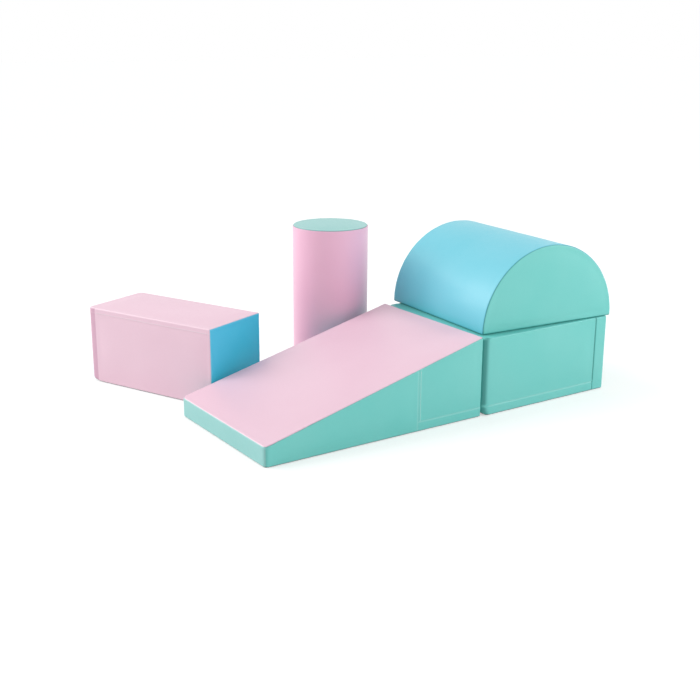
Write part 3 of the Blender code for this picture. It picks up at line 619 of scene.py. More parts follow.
def number_panels(obj, block):
    """Give each face its panel's number, as the index of a material named after the panel."""
    mesh = obj.data
    mesh.materials.clear()
    for panel in block.panels:
        mesh.materials.append(bpy.data.materials.new(panel.node))
    for face in mesh.polygons:
        face.material_index = block.panel_number(face.center, face.normal)


def distance_from(points, places):
    """For each place, its distance from the nearest of the points, and that point's number."""
    tree = kdtree.KDTree(len(points))
    for number, point in enumerate(points):
        tree.insert(point, number)
    tree.balance()
    found = [tree.find(place) for place in places]
    return np.array([item[2] for item in found]), np.array([item[1] for item in found])


def resting_vertices(mesh, block):
    """Which vertices lie on a side that rests on something."""
    resting = np.zeros(len(mesh.vertices), bool)
    for face in mesh.polygons:
        if block.side_of(face.center, face.normal).rests:
            resting[list(face.vertices)] = True
    return resting


def reach_from_held(obj, block):
    """How far each vertex is from one that a seam or a resting side holds."""
    places = positions(obj.data)
    ends, _ = panel_borders(obj.data)
    held = resting_vertices(obj.data, block)
    held[ends.ravel()] = True
    return distance_from(places[held], places)[0]


def weigh(obj, name, weights):
    """A vertex group with the weights that are over 0."""
    made = obj.vertex_groups.new(name=name)
    for number in np.nonzero(weights > 0)[0]:
        made.add([int(number)], float(weights[number]), "REPLACE")


def fill_out(obj, block):
    """Let the foam push the sides of the cover out between its seams."""
    covers = block.covers
    places, normals = positions(obj.data), outward(obj.data)
    reach = reach_from_held(obj, block)
    weigh(obj, "Pins", np.clip(PIN_REACH - reach / covers.soft_edge, 0, 1))
    cloth = add_modifier(obj, "CLOTH")
    for name, value in CLOTH.items():
        setattr(cloth.settings, name, value)
    cloth.settings.uniform_pressure_force = covers.pressure
    cloth.settings.effector_weights.gravity = 0.0
    cloth.point_cache.frame_start = 1
    cloth.point_cache.frame_end = CLOTH_FRAMES
    scene = bpy.context.scene
    for step in range(1, CLOTH_FRAMES + 1):
        scene.frame_set(step)
    bpy.ops.object.modifier_apply(modifier=cloth.name)
    scene.frame_set(1)
    moved = positions(obj.data) - places
    far = np.linalg.norm(moved, axis=1)
    held_back = covers.crown * np.tanh(far / covers.crown) / np.maximum(far, TINY)
    move_to(obj.data, places + moved * held_back[:, None])
    obj.vertex_groups.clear()


def smooth_cells(obj, block):
    """Halve the cells, and even out what the coarse ones leave away from the seams and edges."""
    edit(obj)
    bpy.ops.mesh.select_all(action="SELECT")
    bpy.ops.mesh.subdivide(number_cuts=1, quadcorner="INNERVERT")
    leave()
    weigh(obj, "Free", np.clip(reach_from_held(obj, block) / block.covers.soft_edge - 1, 0, 1))
    modify(obj, "SMOOTH", factor=0.5, iterations=SMOOTH_PASSES, vertex_group="Free")
    obj.vertex_groups.clear()


def noise_at(points, size, seed):
    """Smooth noise from -1 to 1 at each point, the same at every run."""
    offset = Vector((seed, SEED_STRETCH * seed, SEED_LIFT))
    return np.array([noise.noise(Vector(point) / size + offset) for point in points])


def sew(obj, block, seed):
    """Draw the cover in along its seams, pucker it across them, and paint shade at its seams, corners and
    gaps and pale highlights along some seams and hems.
    """
    mesh, covers = obj.data, block.covers
    places, normals = positions(mesh), outward(mesh)
    ends, pairs = panel_borders(mesh)
    names = [panel.node for panel in block.panels]
    lines = {}
    for (start, end), (first, second) in zip(ends, pairs):
        kind = block.seams.get(frozenset((names[first], names[second])), "plain")
        for step in SEAM_SAMPLES:
            lines.setdefault(kind, []).append(places[start] * (1 - step) + places[end] * step)
    points = np.concatenate(list(lines.values()))
    reach, nearest = distance_from(points, places)
    deep, shade, total = np.zeros((3, len(places)))
    for kind, line in lines.items():
        depth, tint, breadth = SEAM_KINDS[kind]
        apart, _ = distance_from(line, places)
        weight = np.exp(-(apart / covers.seam_blend) ** 2) + TINY
        deep += depth * weight
        total += weight
        # painted shade (over 0) and painted highlight (under 0) along each kind of seam
        shade += tint * np.exp(-(apart / (covers.seam_width * breadth)) ** 2)
    deep /= total
    along = noise_at(points[nearest], covers.pucker_pitch, seed)
    fold = -covers.seam_depth * deep * np.exp(-(reach / covers.seam_width) ** 2)
    roll_reach = reach / covers.seam_roll_reach
    roll = covers.seam_roll * deep * roll_reach * np.exp(1 - roll_reach)
    pucker = -covers.pucker_depth * deep * (0.5 - along) * np.exp(-reach / covers.pucker_reach)
    free = np.clip(reach / covers.pucker_reach - 1, 0, 1)
    ripple = covers.ripple * noise_at(places, covers.ripple_size, seed + len(NAMES)) * free
    resting = resting_vertices(mesh, block)
    lift = fold + roll + pucker + ripple
    # A hem's ridge is raised, and painted pale along it as a highlight.
    if block.ridge:
        apart = np.array([block.ridge(Vector(place)) for place in places])
        near = np.exp(-(apart / covers.ridge_width) ** 2)
        lift += covers.ridge_height * near
        shade -= covers.ridge_highlight * near
    lift[resting] = np.minimum(lift[resting], 0)
    places += normals * lift[:, None]
    places[:, 2] = np.maximum(places[:, 2], block.foot)
    move_to(mesh, places)
    # the painted shade and painted highlight that the covers' material reads
    line = mesh.attributes.new("seam_line", "FLOAT", "POINT")
    line.data.foreach_set("value", np.clip(shade, -1, 1).astype(np.float32))


def cut_window(obj, block):
    """Open the window that the zip shows through."""
    edit(obj)
    choose(obj, "FACE", lambda face: block.window(face.calc_center_median()))
    bpy.ops.mesh.delete(type="FACE")
    leave()


def split_panels(obj, block, core):
    """Separate the cover into its panels and give each its thickness, cloth and place."""
    cut_window(obj, block)
    edit(obj)
    bpy.ops.mesh.select_all(action="SELECT")
    bpy.ops.mesh.separate(type="MATERIAL")
    leave()
    made = list(bpy.context.selected_objects)
    by_name = {panel.node: panel for panel in block.panels}
    for piece in made:
        mesh = piece.data
        node = mesh.materials[mesh.polygons[0].material_index].name
        panel = by_name.pop(node)
        piece.name = mesh.name = "sewn_" + node
        mesh.materials.clear()
        modify(piece, "SOLIDIFY", thickness=block.covers.thickness, offset=-1.0)
        bpy.ops.object.shade_smooth_by_angle(angle=COVER_SMOOTH_ANGLE)
        settle(piece, block.frame)
        piece.data.materials.append(bpy.data.materials[panel.finish])
        piece.parent = core
        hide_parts(node)
    if by_name:
        raise RuntimeError(f"{block.name}: nothing was cut for {sorted(by_name)}")
    for panel in block.panels:
        bpy.data.materials.remove(bpy.data.materials[panel.node])


def make_core(skin, block):
    """The foam inside the cover, as a closed form that lies a little within it."""
    core = duplicate(skin, "soft_" + block.name + "_foam_core")
    core.data.materials.clear()
    modify(core, "DISPLACE", strength=-block.covers.core_inset, mid_level=0.0)
    bpy.ops.object.shade_smooth_by_angle(angle=COVER_SMOOTH_ANGLE)
    settle(core, block.frame)
    core.data.materials.append(bpy.data.materials["Foam"])
    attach(core, block.name)
    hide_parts(block.name + "_foam_core")
    return core


def dress(skin, block, seed):
    """Turn a cut and rounded blank into a foam core and its sewn cover."""
    number_panels(skin, block)
    fill_out(skin, block)
    core = make_core(skin, block)
    smooth_cells(skin, block)
    sew(skin, block, seed)
    split_panels(skin, block, core)


NAMES = ("ramp", "base", "half_round", "bar", "cylinder")


def frame_of(name, sizes):
    """A block's own frame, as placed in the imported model."""
    if name == "half_round":
        low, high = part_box("half_round_underside")
        place = Vector(((low.x + high.x) / 2, (low.y + high.y) / 2, low.z))
    else:
        place = MOUNTS["cylinder_foot" if name == "cylinder" else name + "_underside"]
    yaw = {"half_round": sizes.half_round_yaw, "bar": sizes.bar_yaw}.get(name, 0.0)
    return Matrix.Translation(place) @ Matrix.Rotation(yaw, 4, "Z")


def zip_of(name, scene):
    """Where a block's zip lies in the block's frame: its middle, its line, its way out and its run."""
    sizes, fittings = scene.play_set_sizes, scene.play_set_fittings
    margin = fittings.zip_end_margin
    if name == "cylinder":
        run = sizes.cylinder_height - fittings.cylinder_zip_foot - fittings.cylinder_zip_top
        middle = Vector((0, sizes.cylinder_diameter / 2, fittings.cylinder_zip_foot + run / 2))
        return middle, Z, Y, run
    if name == "ramp":
        run = fittings.ramp_zip_run
        middle = Vector((sizes.ramp_length / 2 - margin - run / 2, sizes.shared_width / 2, sizes.band_height))
        return middle, -X, Y, run
    span = {"base": sizes.base_length, "half_round": sizes.half_round_span, "bar": sizes.bar_length}[name]
    wide = sizes.bar_width if name == "bar" else sizes.shared_width
    return Vector((0, wide / 2, sizes.band_height)), -X, Y, span - 2 * margin


def zip_frame(name, scene):
    """A zip's own frame: X along its run, Z out of the cover and the origin on the cover's outside."""
    middle, along, out, _ = zip_of(name, scene)
    axes = Matrix((along, out.cross(along), out)).transposed().to_4x4()
    return frame_of(name, scene.play_set_sizes) @ Matrix.Translation(middle) @ axes


def window_of(name, scene):
    """The test for a point of the cover in a zip's window."""
    middle, along, out, run = zip_of(name, scene)
    across, half = out.cross(along), scene.play_set_fittings.zip_window / 2

    def shows(co):
        offset = co - middle
        near = abs(offset.dot(out)) < WINDOW_DEPTH
        return near and abs(offset.dot(along)) < run / 2 and abs(offset.dot(across)) < half

    return shows


def add_box(name, long, wide, tall):
    """A block's blank, which stands on its frame's origin."""
    return add_cube(name + "_skin", (-long / 2, -wide / 2, 0), (long / 2, wide / 2, tall))


def far_panels(cloth, band):
    """The rows of a far side, which a seam with the zip in it divides."""
    return [("far_side_panel", "far", cloth, lambda co: co.z > band),
            ("far_side_band", "far", cloth, lambda co: co.z < band)]


def cut_box(skin, name, scene, spans, upright, levels):
    """Cut a box into cells, closer at its upright seam, its level seams and hems, and its zip."""
    long, wide, tall = spans
    ends, run = Ends(scene.play_set_covers), zip_of(name, scene)[3]
    cut(skin, X, ends.places(-long / 2, long / 2, [upright], low_crisp=False) + [-run / 2, run / 2])
    cut(skin, Y, ends.places(-wide / 2, wide / 2))
    cut(skin, Z, ends.places(0.0, tall, levels) + slot_edges(scene.play_set_sizes.band_height, scene))


def on_near_face(co, wide):
    return co.y < NEAR_FACE_DEPTH - wide / 2


def box_sides(rests=()):
    facing = {"left": -X, "right": X, "near": -Y, "far": Y, "under": -Z, "top": Z}
    return [Side(name, normal, name in rests) for name, normal in facing.items()]


# Finishes

def group(name, inputs, outputs):
    """A shader node group with named inputs and outputs: pairs of name and socket type."""
    tree = bpy.data.node_groups.new(name, "ShaderNodeTree")
    for label, kind, default in inputs:
        socket = tree.interface.new_socket(label, in_out="INPUT", socket_type=kind)
        if default is not None:
            socket.default_value = default
    for label, kind in outputs:
        tree.interface.new_socket(label, in_out="OUTPUT", socket_type=kind)
    return tree, tree.nodes.new("NodeGroupInput"), tree.nodes.new("NodeGroupOutput")


def seen_node(tree):
    """1 where a ray sees the surface straight, in a reflection or through glass, and else 0."""
    rays = tree.nodes.new("ShaderNodeLightPath")
    seen = math_node(tree, "MAXIMUM", rays.outputs["Is Camera Ray"], rays.outputs["Is Glossy Ray"])
    return math_node(tree, "MAXIMUM", seen, rays.outputs["Is Transmission Ray"])


def math_node(tree, operation, first, second=None, clamp=False):
    node = tree.nodes.new("ShaderNodeMath")
    node.operation = operation
    node.use_clamp = clamp
    for socket, value in zip(node.inputs, (first, second)):
        if value is None:
            continue
        if isinstance(value, (int, float)):
            socket.default_value = value
        else:
            tree.links.new(value, socket)
    return node.outputs[0]


def range_node(tree, value, low, high, to_low=0.0, to_high=1.0):
    node = tree.nodes.new("ShaderNodeMapRange")
    tree.links.new(value, node.inputs["Value"])
    node.inputs["From Min"].default_value = low
    node.inputs["From Max"].default_value = high
    node.inputs["To Min"].default_value = to_low
    node.inputs["To Max"].default_value = to_high
    return node.outputs["Result"]


def mix_node(tree, factor, first, second):
    """A colour mix. First and second are colours or sockets."""
    node = tree.nodes.new("ShaderNodeMix")
    node.data_type = "RGBA"
    tree.links.new(factor, node.inputs[0])
    for socket, value in ((node.inputs[6], first), (node.inputs[7], second)):
        if isinstance(value, bpy.types.NodeSocket):
            tree.links.new(value, socket)
        else:
            socket.default_value = (*value, 1.0)
    return node.outputs[2]


def vector_node(tree, operation, *values):
    """A vector sum or product of sockets and plain vectors."""
    node = tree.nodes.new("ShaderNodeVectorMath")
    node.operation = operation
    for socket, value in zip(node.inputs, values):
        if isinstance(value, bpy.types.NodeSocket):
            tree.links.new(value, socket)
        else:
            socket.default_value = value
    return node.outputs[0]


def noise_node(tree, vector, scale, detail):
    node = tree.nodes.new("ShaderNodeTexNoise")
    node.inputs["Scale"].default_value = scale
    node.inputs["Detail"].default_value = detail
    tree.links.new(vector, node.inputs["Vector"])
    return node.outputs


def cells_node(tree, vector, scale=1.0, feature="F1", randomness=1.0):
    node = tree.nodes.new("ShaderNodeTexVoronoi")
    node.feature = feature
    node.inputs["Scale"].default_value = scale
    node.inputs["Randomness"].default_value = randomness
    tree.links.new(vector, node.inputs["Vector"])
    return node


def leather_grain():
    """Fine pebbles between creases, as pressed into coated cloth."""
    tree, source, out = group("Leather grain",
                              [("Vector", "NodeSocketVector", None), ("Size", "NodeSocketFloat", 0.0013)],
                              [("Height", "NodeSocketFloat"), ("Crease", "NodeSocketFloat")])
    warp = noise_node(tree, source.outputs["Vector"], scale=260.0, detail=2.0)["Color"]
    shifted = vector_node(tree, "MULTIPLY_ADD", warp, (GRAIN_WARP,) * 3, source.outputs["Vector"])
    cells = cells_node(tree, shifted, feature="DISTANCE_TO_EDGE")
    tree.links.new(math_node(tree, "DIVIDE", 1.0, source.outputs["Size"]), cells.inputs["Scale"])
    pebble = range_node(tree, cells.outputs["Distance"], 0.0, 0.30)
    round_top = math_node(tree, "POWER", pebble, 0.5)
    fine = noise_node(tree, source.outputs["Vector"], scale=2600.0, detail=1.0)["Fac"]
    speck = math_node(tree, "MULTIPLY", fine, 0.25)
    tree.links.new(math_node(tree, "ADD", round_top, speck), out.inputs["Height"])
    # The crease mask, where the cover paints shade in the grain's creases
    tree.links.new(range_node(tree, pebble, 0.0, 0.5, 1.0, 0.0), out.inputs["Crease"])
    return tree


def cloth_mottle():
    """Broad and fine unevenness of a dyed or coated surface, from 0 to 1."""
    tree, source, out = group("Cloth mottle", [("Vector", "NodeSocketVector", None)],
                              [("Broad", "NodeSocketFloat"), ("Fine", "NodeSocketFloat")])
    for label, scale, detail in (("Broad", 5.0, 2.0), ("Fine", 70.0, 4.0)):
        texture = noise_node(tree, source.outputs["Vector"], scale, detail)["Fac"]
        tree.links.new(range_node(tree, texture, 0.3, 0.7), out.inputs[label])
    return tree


def seam_shade_and_highlight():
    """Where a cover's seams, corners and gaps are painted dark as shade, with some of the seam thread's own
    dark, and where seams and hems are painted pale as a highlight.
    """
    tree, source, out = group("Seam tint", [("Line", "NodeSocketFloat", 0.0)],
                              [("Dark", "NodeSocketFloat"), ("Pale", "NodeSocketFloat")])
    for label, sign in (("Dark", 1), ("Pale", -1)):
        low, high = (sign * level for level in SEAM_LEVELS)
        tree.links.new(range_node(tree, source.outputs["Line"], low, high), out.inputs[label])
    return tree


def plain_weave():
    """Threads over and under each other, for tapes and cloth."""
    tree, source, out = group("Plain weave",
                              [("Vector", "NodeSocketVector", None), ("Pitch", "NodeSocketFloat", 0.0008)],
                              [("Height", "NodeSocketFloat"), ("Gap", "NodeSocketFloat")])
    turns = math_node(tree, "DIVIDE", 2 * math.pi, source.outputs["Pitch"])
    parts = tree.nodes.new("ShaderNodeSeparateXYZ")
    tree.links.new(source.outputs["Vector"], parts.inputs[0])
    flat = math_node(tree, "ADD", parts.outputs["X"], parts.outputs["Y"])
    waves = [math_node(tree, "SINE", math_node(tree, "MULTIPLY", place, turns))
             for place in (flat, parts.outputs["Z"])]
    product = math_node(tree, "MULTIPLY", *waves)
    height = range_node(tree, product, -1.0, 1.0)
    tree.links.new(height, out.inputs["Height"])
    tree.links.new(range_node(tree, height, 0.5, 0.0), out.inputs["Gap"])
    return tree


def use_group(tree, made, place=None):
    """A node for a group, which reads the object's coordinates if they are given."""
    node = tree.nodes.new("ShaderNodeGroup")
    node.node_tree = made
    if place:
        tree.links.new(place, node.inputs["Vector"])
    return node


def new_material(name, roughness, metallic=0.0):
    """A material's node tree and shader, and its object coordinates."""
    material = bpy.data.materials.new(name)
    material.use_nodes = True
    tree = material.node_tree
    shader = tree.nodes["Principled BSDF"]
    shader.inputs["Roughness"].default_value = roughness
    shader.inputs["Metallic"].default_value = metallic
    return tree, shader, tree.nodes.new("ShaderNodeTexCoord").outputs["Object"]


def mottled(tree, place, groups, tone, deep, pale=0.0):
    """A tone that goes a little deeper and paler in small spots, and the mask of those spots."""
    fine = use_group(tree, groups["mottle"], place).outputs["Fine"]
    return mix_node(tree, fine, deeper(tone, deep), paler(tone, pale)), fine


def vary_roughness(tree, shader, mask, least, most, low=0.0, high=1.0):
    """Let the roughness go from least to most as a mask goes from low to high."""
    tree.links.new(range_node(tree, mask, low, high, least, most), shader.inputs["Roughness"])


def bump(tree, shader, height, strength, distance):
    node = tree.nodes.new("ShaderNodeBump")
    node.inputs["Strength"].default_value = strength
    node.inputs["Distance"].default_value = distance
    tree.links.new(height, node.inputs["Height"])
    tree.links.new(node.outputs["Normal"], shader.inputs["Normal"])


def deeper(tone, amount):
    """The tone with more colour and less light, as cloth shows in a fold."""
    mean = sum(tone) / 3
    return tuple(max(0.0, (mean + (value - mean) * (1 + amount * 0.5)) * (1 - amount)) for value in tone)


def paler(tone, amount):
    return tuple(value + (1 - value) * amount for value in tone)


def cover_finish(name, tone, finishes, groups):
    """Coated cloth with a satin leather grain, a little uneven, with painted shade in its grain's creases and
    at its seams, corners and gaps, and painted highlights on some seams and hems.
    """
    tree, shader, place = new_material(name, finishes.roughness)
    grain, mottle = use_group(tree, groups["grain"], place), use_group(tree, groups["mottle"], place)
    seams = use_group(tree, groups["seams"])
    grain.inputs["Size"].default_value = finishes.grain_size
    line = tree.nodes.new("ShaderNodeAttribute")
    line.attribute_name = "seam_line"
    tree.links.new(line.outputs["Fac"], seams.inputs["Line"])
    shown = mix_node(tree, mottle.outputs["Broad"], deeper(tone, UNEVEN_DEEP), paler(tone, UNEVEN_PALE))
    # Painted shade in the grain's creases and at seams, corners and gaps, and painted highlights on seams and
    # hems
    for mask, weight, over in ((grain.outputs["Crease"], CREASE_SHARE, deeper(tone, CREASE_DEPTH)),
                               (seams.outputs["Dark"], FOLD_SHADE_SHARE, deeper(tone, FOLD_SHADE_DEPTH)),
                               (seams.outputs["Pale"], HIGHLIGHT_SHARE, paler(tone, HIGHLIGHT_PALE))):
        shown = mix_node(tree, math_node(tree, "MULTIPLY", mask, weight), shown, over)
    tree.links.new(shown, shader.inputs["Base Color"])
    least, most = (finishes.roughness + spread for spread in ROUGHNESS_SPREAD)
    vary_roughness(tree, shader, mottle.outputs["Fine"], least, most)
    shader.inputs["Coat Weight"].default_value = finishes.gloss
    shader.inputs["Coat Roughness"].default_value = COAT_ROUGHNESS
    bump(tree, shader, grain.outputs["Height"], strength=0.5, distance=finishes.grain_depth)


def foam_finish(finishes):
    """Open-celled foam."""
    tree, shader, place = new_material("Foam", 0.95)
    open_cell = range_node(tree, cells_node(tree, place, scale=900.0).outputs["Distance"], low=0.15, high=0.5)
    tone = tuple(finishes.foam)
    # the open cells' pores get painted shade
    tree.links.new(mix_node(tree, open_cell, deeper(tone, PORE_DEPTH), tone), shader.inputs["Base Color"])
    bump(tree, shader, open_cell, strength=0.6, distance=0.0004)


def woven_finish(name, tone, groups, roughness=0.9):
    """Woven cloth or thread. Gives its node tree, shader and coordinates."""
    tree, shader, place = new_material(name, roughness)
    weave = use_group(tree, groups["weave"], place)
    weave.inputs["Pitch"].default_value = PITCHES[name]
    uneven, _ = mottled(tree, place, groups, tone, deep=0.06, pale=0.04)
    # painted shade in the gaps between threads
    gaps = math_node(tree, "MULTIPLY", weave.outputs["Gap"], GAP_SHARE)
    tree.links.new(mix_node(tree, gaps, uneven, deeper(tone, GAP_DEPTH)), shader.inputs["Base Color"])
    bump(tree, shader, weave.outputs["Height"], strength=0.5, distance=0.0003)
    return tree, shader, place


def non_slip_finish(finishes, groups):
    """Woven cloth with raised rubber dots in rows."""
    tree, shader, place = woven_finish("Non-slip cloth", tuple(finishes.grey), groups)
    cloth_colour = shader.inputs["Base Color"].links[0].from_socket
    relief = shader.inputs["Normal"].links[0].from_node
    cloth_height = relief.inputs["Height"].links[0].from_socket
    level = vector_node(tree, "MULTIPLY", place, (1.0, 1.0, 0.0))
    dots = cells_node(tree, level, 1 / DOT_PITCH, randomness=0.0)
    raised = range_node(tree, dots.outputs["Distance"], low=0.30, high=0.22)
    tree.links.new(mix_node(tree, raised, cloth_colour, paler(tuple(finishes.grey), 0.25)),
                   shader.inputs["Base Color"])
    vary_roughness(tree, shader, raised, least=0.92, most=0.55)
    fine = math_node(tree, "MULTIPLY", cloth_height, 0.2)
    tree.links.new(math_node(tree, "ADD", raised, fine), relief.inputs["Height"])
    relief.inputs["Distance"].default_value = 0.0010


def pile_finish(finishes, groups):
    """The furry field of a hook or loop strip."""
    tree, shader, place = new_material("Hook and loop pile", 0.98)
    tufts = cells_node(tree, place, scale=1100.0).outputs["Distance"]
    deep = range_node(tree, tufts, low=0.1, high=0.8)
    tone = tuple(finishes.tape)
    uneven, _ = mottled(tree, place, groups, tone, deep=0.1)
    # painted shade in the gaps between tufts
    tree.links.new(mix_node(tree, deep, uneven, deeper(tone, TUFT_DEPTH)), shader.inputs["Base Color"])
    bump(tree, shader, math_node(tree, "SUBTRACT", 1.0, deep), strength=0.8, distance=0.0006)


def coil_finish(finishes, groups):
    """Smooth dyed plastic of the zips' coils and stops."""
    tree, shader, place = new_material("Zip coil", 0.35)
    tone = deeper(tuple(finishes.tape), 0.1)
    uneven, fine = mottled(tree, place, groups, tone, deep=0.08, pale=0.06)
    tree.links.new(uneven, shader.inputs["Base Color"])
    vary_roughness(tree, shader, fine, least=0.30, most=0.42)


def metal_finish(finishes, groups):
    """Plated metal with fine scratches."""
    tree, shader, place = new_material("Zip metal", 0.32, 1.0)
    scratch = noise_node(tree, place, scale=1800.0, detail=3.0)["Fac"]
    uneven, _ = mottled(tree, place, groups, tuple(finishes.metal), deep=0.08, pale=0.05)
    tree.links.new(uneven, shader.inputs["Base Color"])
    vary_roughness(tree, shader, scratch, least=0.24, most=0.42, low=0.3, high=0.7)
    bump(tree, shader, scratch, strength=0.2, distance=0.00004)


# Operators

class PLAYSET_OT_finishes(bpy.types.Operator):
    """Make the covers' coated cloth and the other finishes"""

    bl_idname = "playset.finishes"
    bl_label = "Make finishes"

    def execute(self, context):
        finishes = context.scene.play_set_finishes
        groups = {"grain": leather_grain(), "mottle": cloth_mottle(), "seams": seam_shade_and_highlight(),
                  "weave": plain_weave()}
        for field in ("pink", "rose", "deep_pink", "teal", "pale_teal", "sky_blue", "blue"):
            name = field.replace("_", " ").capitalize() + " cover"
            cover_finish(name, tuple(getattr(finishes, field)), finishes, groups)
        foam_finish(finishes)
        non_slip_finish(finishes, groups)
        woven_finish("Hook and loop tape", tuple(finishes.tape), groups)
        woven_finish("Zip tape", tuple(finishes.tape), groups)
        woven_finish("Thread", tuple(finishes.thread), groups, roughness=0.7)
        pile_finish(finishes, groups)
        coil_finish(finishes, groups)
        metal_finish(finishes, groups)
        return {"FINISHED"}


class PLAYSET_OT_ramp(bpy.types.Operator):
    """Sew the ramp's cover over its foam core"""

    bl_idname = "playset.ramp"
    bl_label = "Sew the ramp"

    def execute(self, context):
        sizes, covers, _ = settings_of(context.scene)
        long, wide = sizes.ramp_length, sizes.shared_width
        low, tall, band = sizes.ramp_low_height, sizes.ramp_tall_height, sizes.band_height
        slope = Vector((long, 0, tall - low)).normalized()
        seam = sizes.ramp_seam - long / 2
        hem = seam + covers.hem
        sides = [side for side in box_sides(rests=("under", "right", "far")) if side.name != "top"]
        sides.append(Side("slope", Vector((-slope.z, 0, slope.x))))
        panels = [
            # the low end's paler teal is painted sheen
            ("slope_panel", "slope", "pink"), ("low_end_panel", "left", "pale teal"),
            ("near_side_front", "near", "teal", lambda co: co.x < seam),
            ("near_side_rear", "near", "teal", lambda co: co.x > seam and co.z > band),
            ("near_side_band", "near", "teal", lambda co: co.x > seam and co.z < band),
            ("tall_end_panel", "right", "teal"), ("underside", "under", "non-slip"),
            *far_panels("teal", band),
        ]
        # These seams paint shade on the low end's rounded corner, in the gap at the tall end beside the
        # square block and along the slope's near edge, and pale highlights along the slope's low edge and the
        # near side's seams
        seams = {"corner": [("low_end_panel", "near_side_front")],
                 "pale": [("slope_panel", "low_end_panel"), ("near_side_front", "near_side_rear"),
                          ("near_side_front", "near_side_band"), ("near_side_rear", "near_side_band")],
                 "shadow_gap": [("slope_panel", "tall_end_panel")],
                 "soft": [("slope_panel", "near_side_front"), ("slope_panel", "near_side_rear")]}

        # The hem beside the upright seam shows as a ridge with a painted highlight
        def from_hem(co):
            return abs(co.x - hem) if on_near_face(co, wide) and band < co.z else FAR

        corner = 2 * covers.eased_edge
        block = Block("ramp", context.scene, sides, panels, covers.crisp_edge,
                      {("left", "near"): corner, ("left", "far"): corner}, seams, from_hem)
        skin = add_box("ramp", long, wide, tall)
        edit(skin)
        choose(skin, "VERT", lambda v: v.co.x < 0 and v.co.z > 0)
        bpy.ops.transform.translate(value=(0, 0, low - tall))
        leave()
        round_edges(skin, block)
        ends = Ends(covers)
        middle, _, _, run = zip_of("ramp", context.scene)
        cut(skin, X, ends.places(-long / 2, long / 2, [seam, hem]) + [middle.x - run / 2, middle.x + run / 2])
        cut(skin, Y, ends.places(-wide / 2, wide / 2))
        level = band + SEAM_REACH[-1]
        cut(skin, Z, [covers.crisp_edge + CRISP_MARGIN, *around(band), *slot_edges(band, context.scene)])
        apex = Vector((-long / 2 - (low - level) * long / (tall - low), 0, level))
        rise = math.atan2(tall - low, long)
        cut_fan(skin, apex, [rise * step / FAN_ROWS for step in (*range(1, FAN_ROWS), *FAN_CLOSE)])
        dress(skin, block, seed=1)
        return {"FINISHED"}


class PLAYSET_OT_base(bpy.types.Operator):
    """Sew the square block's cover over its foam core"""

    bl_idname = "playset.base"
    bl_label = "Sew the square block"

    def execute(self, context):
        sizes, covers, _ = settings_of(context.scene)
        long, wide, tall, band = sizes.base_length, sizes.shared_width, sizes.base_height, sizes.band_height
        seam = long / 2 - sizes.base_seam
        panels = [
            ("top_panel", "top", "teal"),
            ("near_side_panel", "near", "teal", lambda co: co.x < seam and co.z > band),
            ("near_side_band", "near", "teal", lambda co: co.x < seam and co.z < band),
            ("near_corner_strip", "near", "teal", lambda co: co.x > seam),
            ("left_side_panel", "left", "teal"), ("right_side_panel", "right", "teal"),
            ("underside", "under", "non-slip"), *far_panels("teal", band),
        ]
        # These seams paint shade on the rounded left corner in the gap beside the ramp, on the edges to the
        # right side and the top, and in the gap down the corner strip's seam, and pale highlights along the
        # top's left edge and the band's seam
        seams = {"shaded": [("left_side_panel", "near_side_panel"), ("left_side_panel", "near_side_band")],
                 "fold": [("right_side_panel", "near_corner_strip"), ("top_panel", "near_side_panel"),
                          ("top_panel", "near_corner_strip")],
                 "pale": [("top_panel", "left_side_panel"), ("near_side_panel", "near_side_band")],
                 "shadow_gap": [("near_side_panel", "near_corner_strip")]}
        soft, eased = covers.soft_edge, covers.eased_edge
        uprights = {("left", "near"): soft, ("left", "far"): soft, ("near", "right"): eased,
                    ("far", "right"): eased}
        block = Block("base", context.scene, box_sides(rests=("under", "top", "left", "far")), panels,
                      covers.tight_edge, uprights, seams)
        skin = add_box("base", long, wide, tall)
        round_edges(skin, block)
        cut_box(skin, "base", context.scene, (long, wide, tall), seam, [band])
        lift_foot(skin, -long / 2, soft, covers.foot_lift)
        dress(skin, block, seed=2)
        return {"FINISHED"}


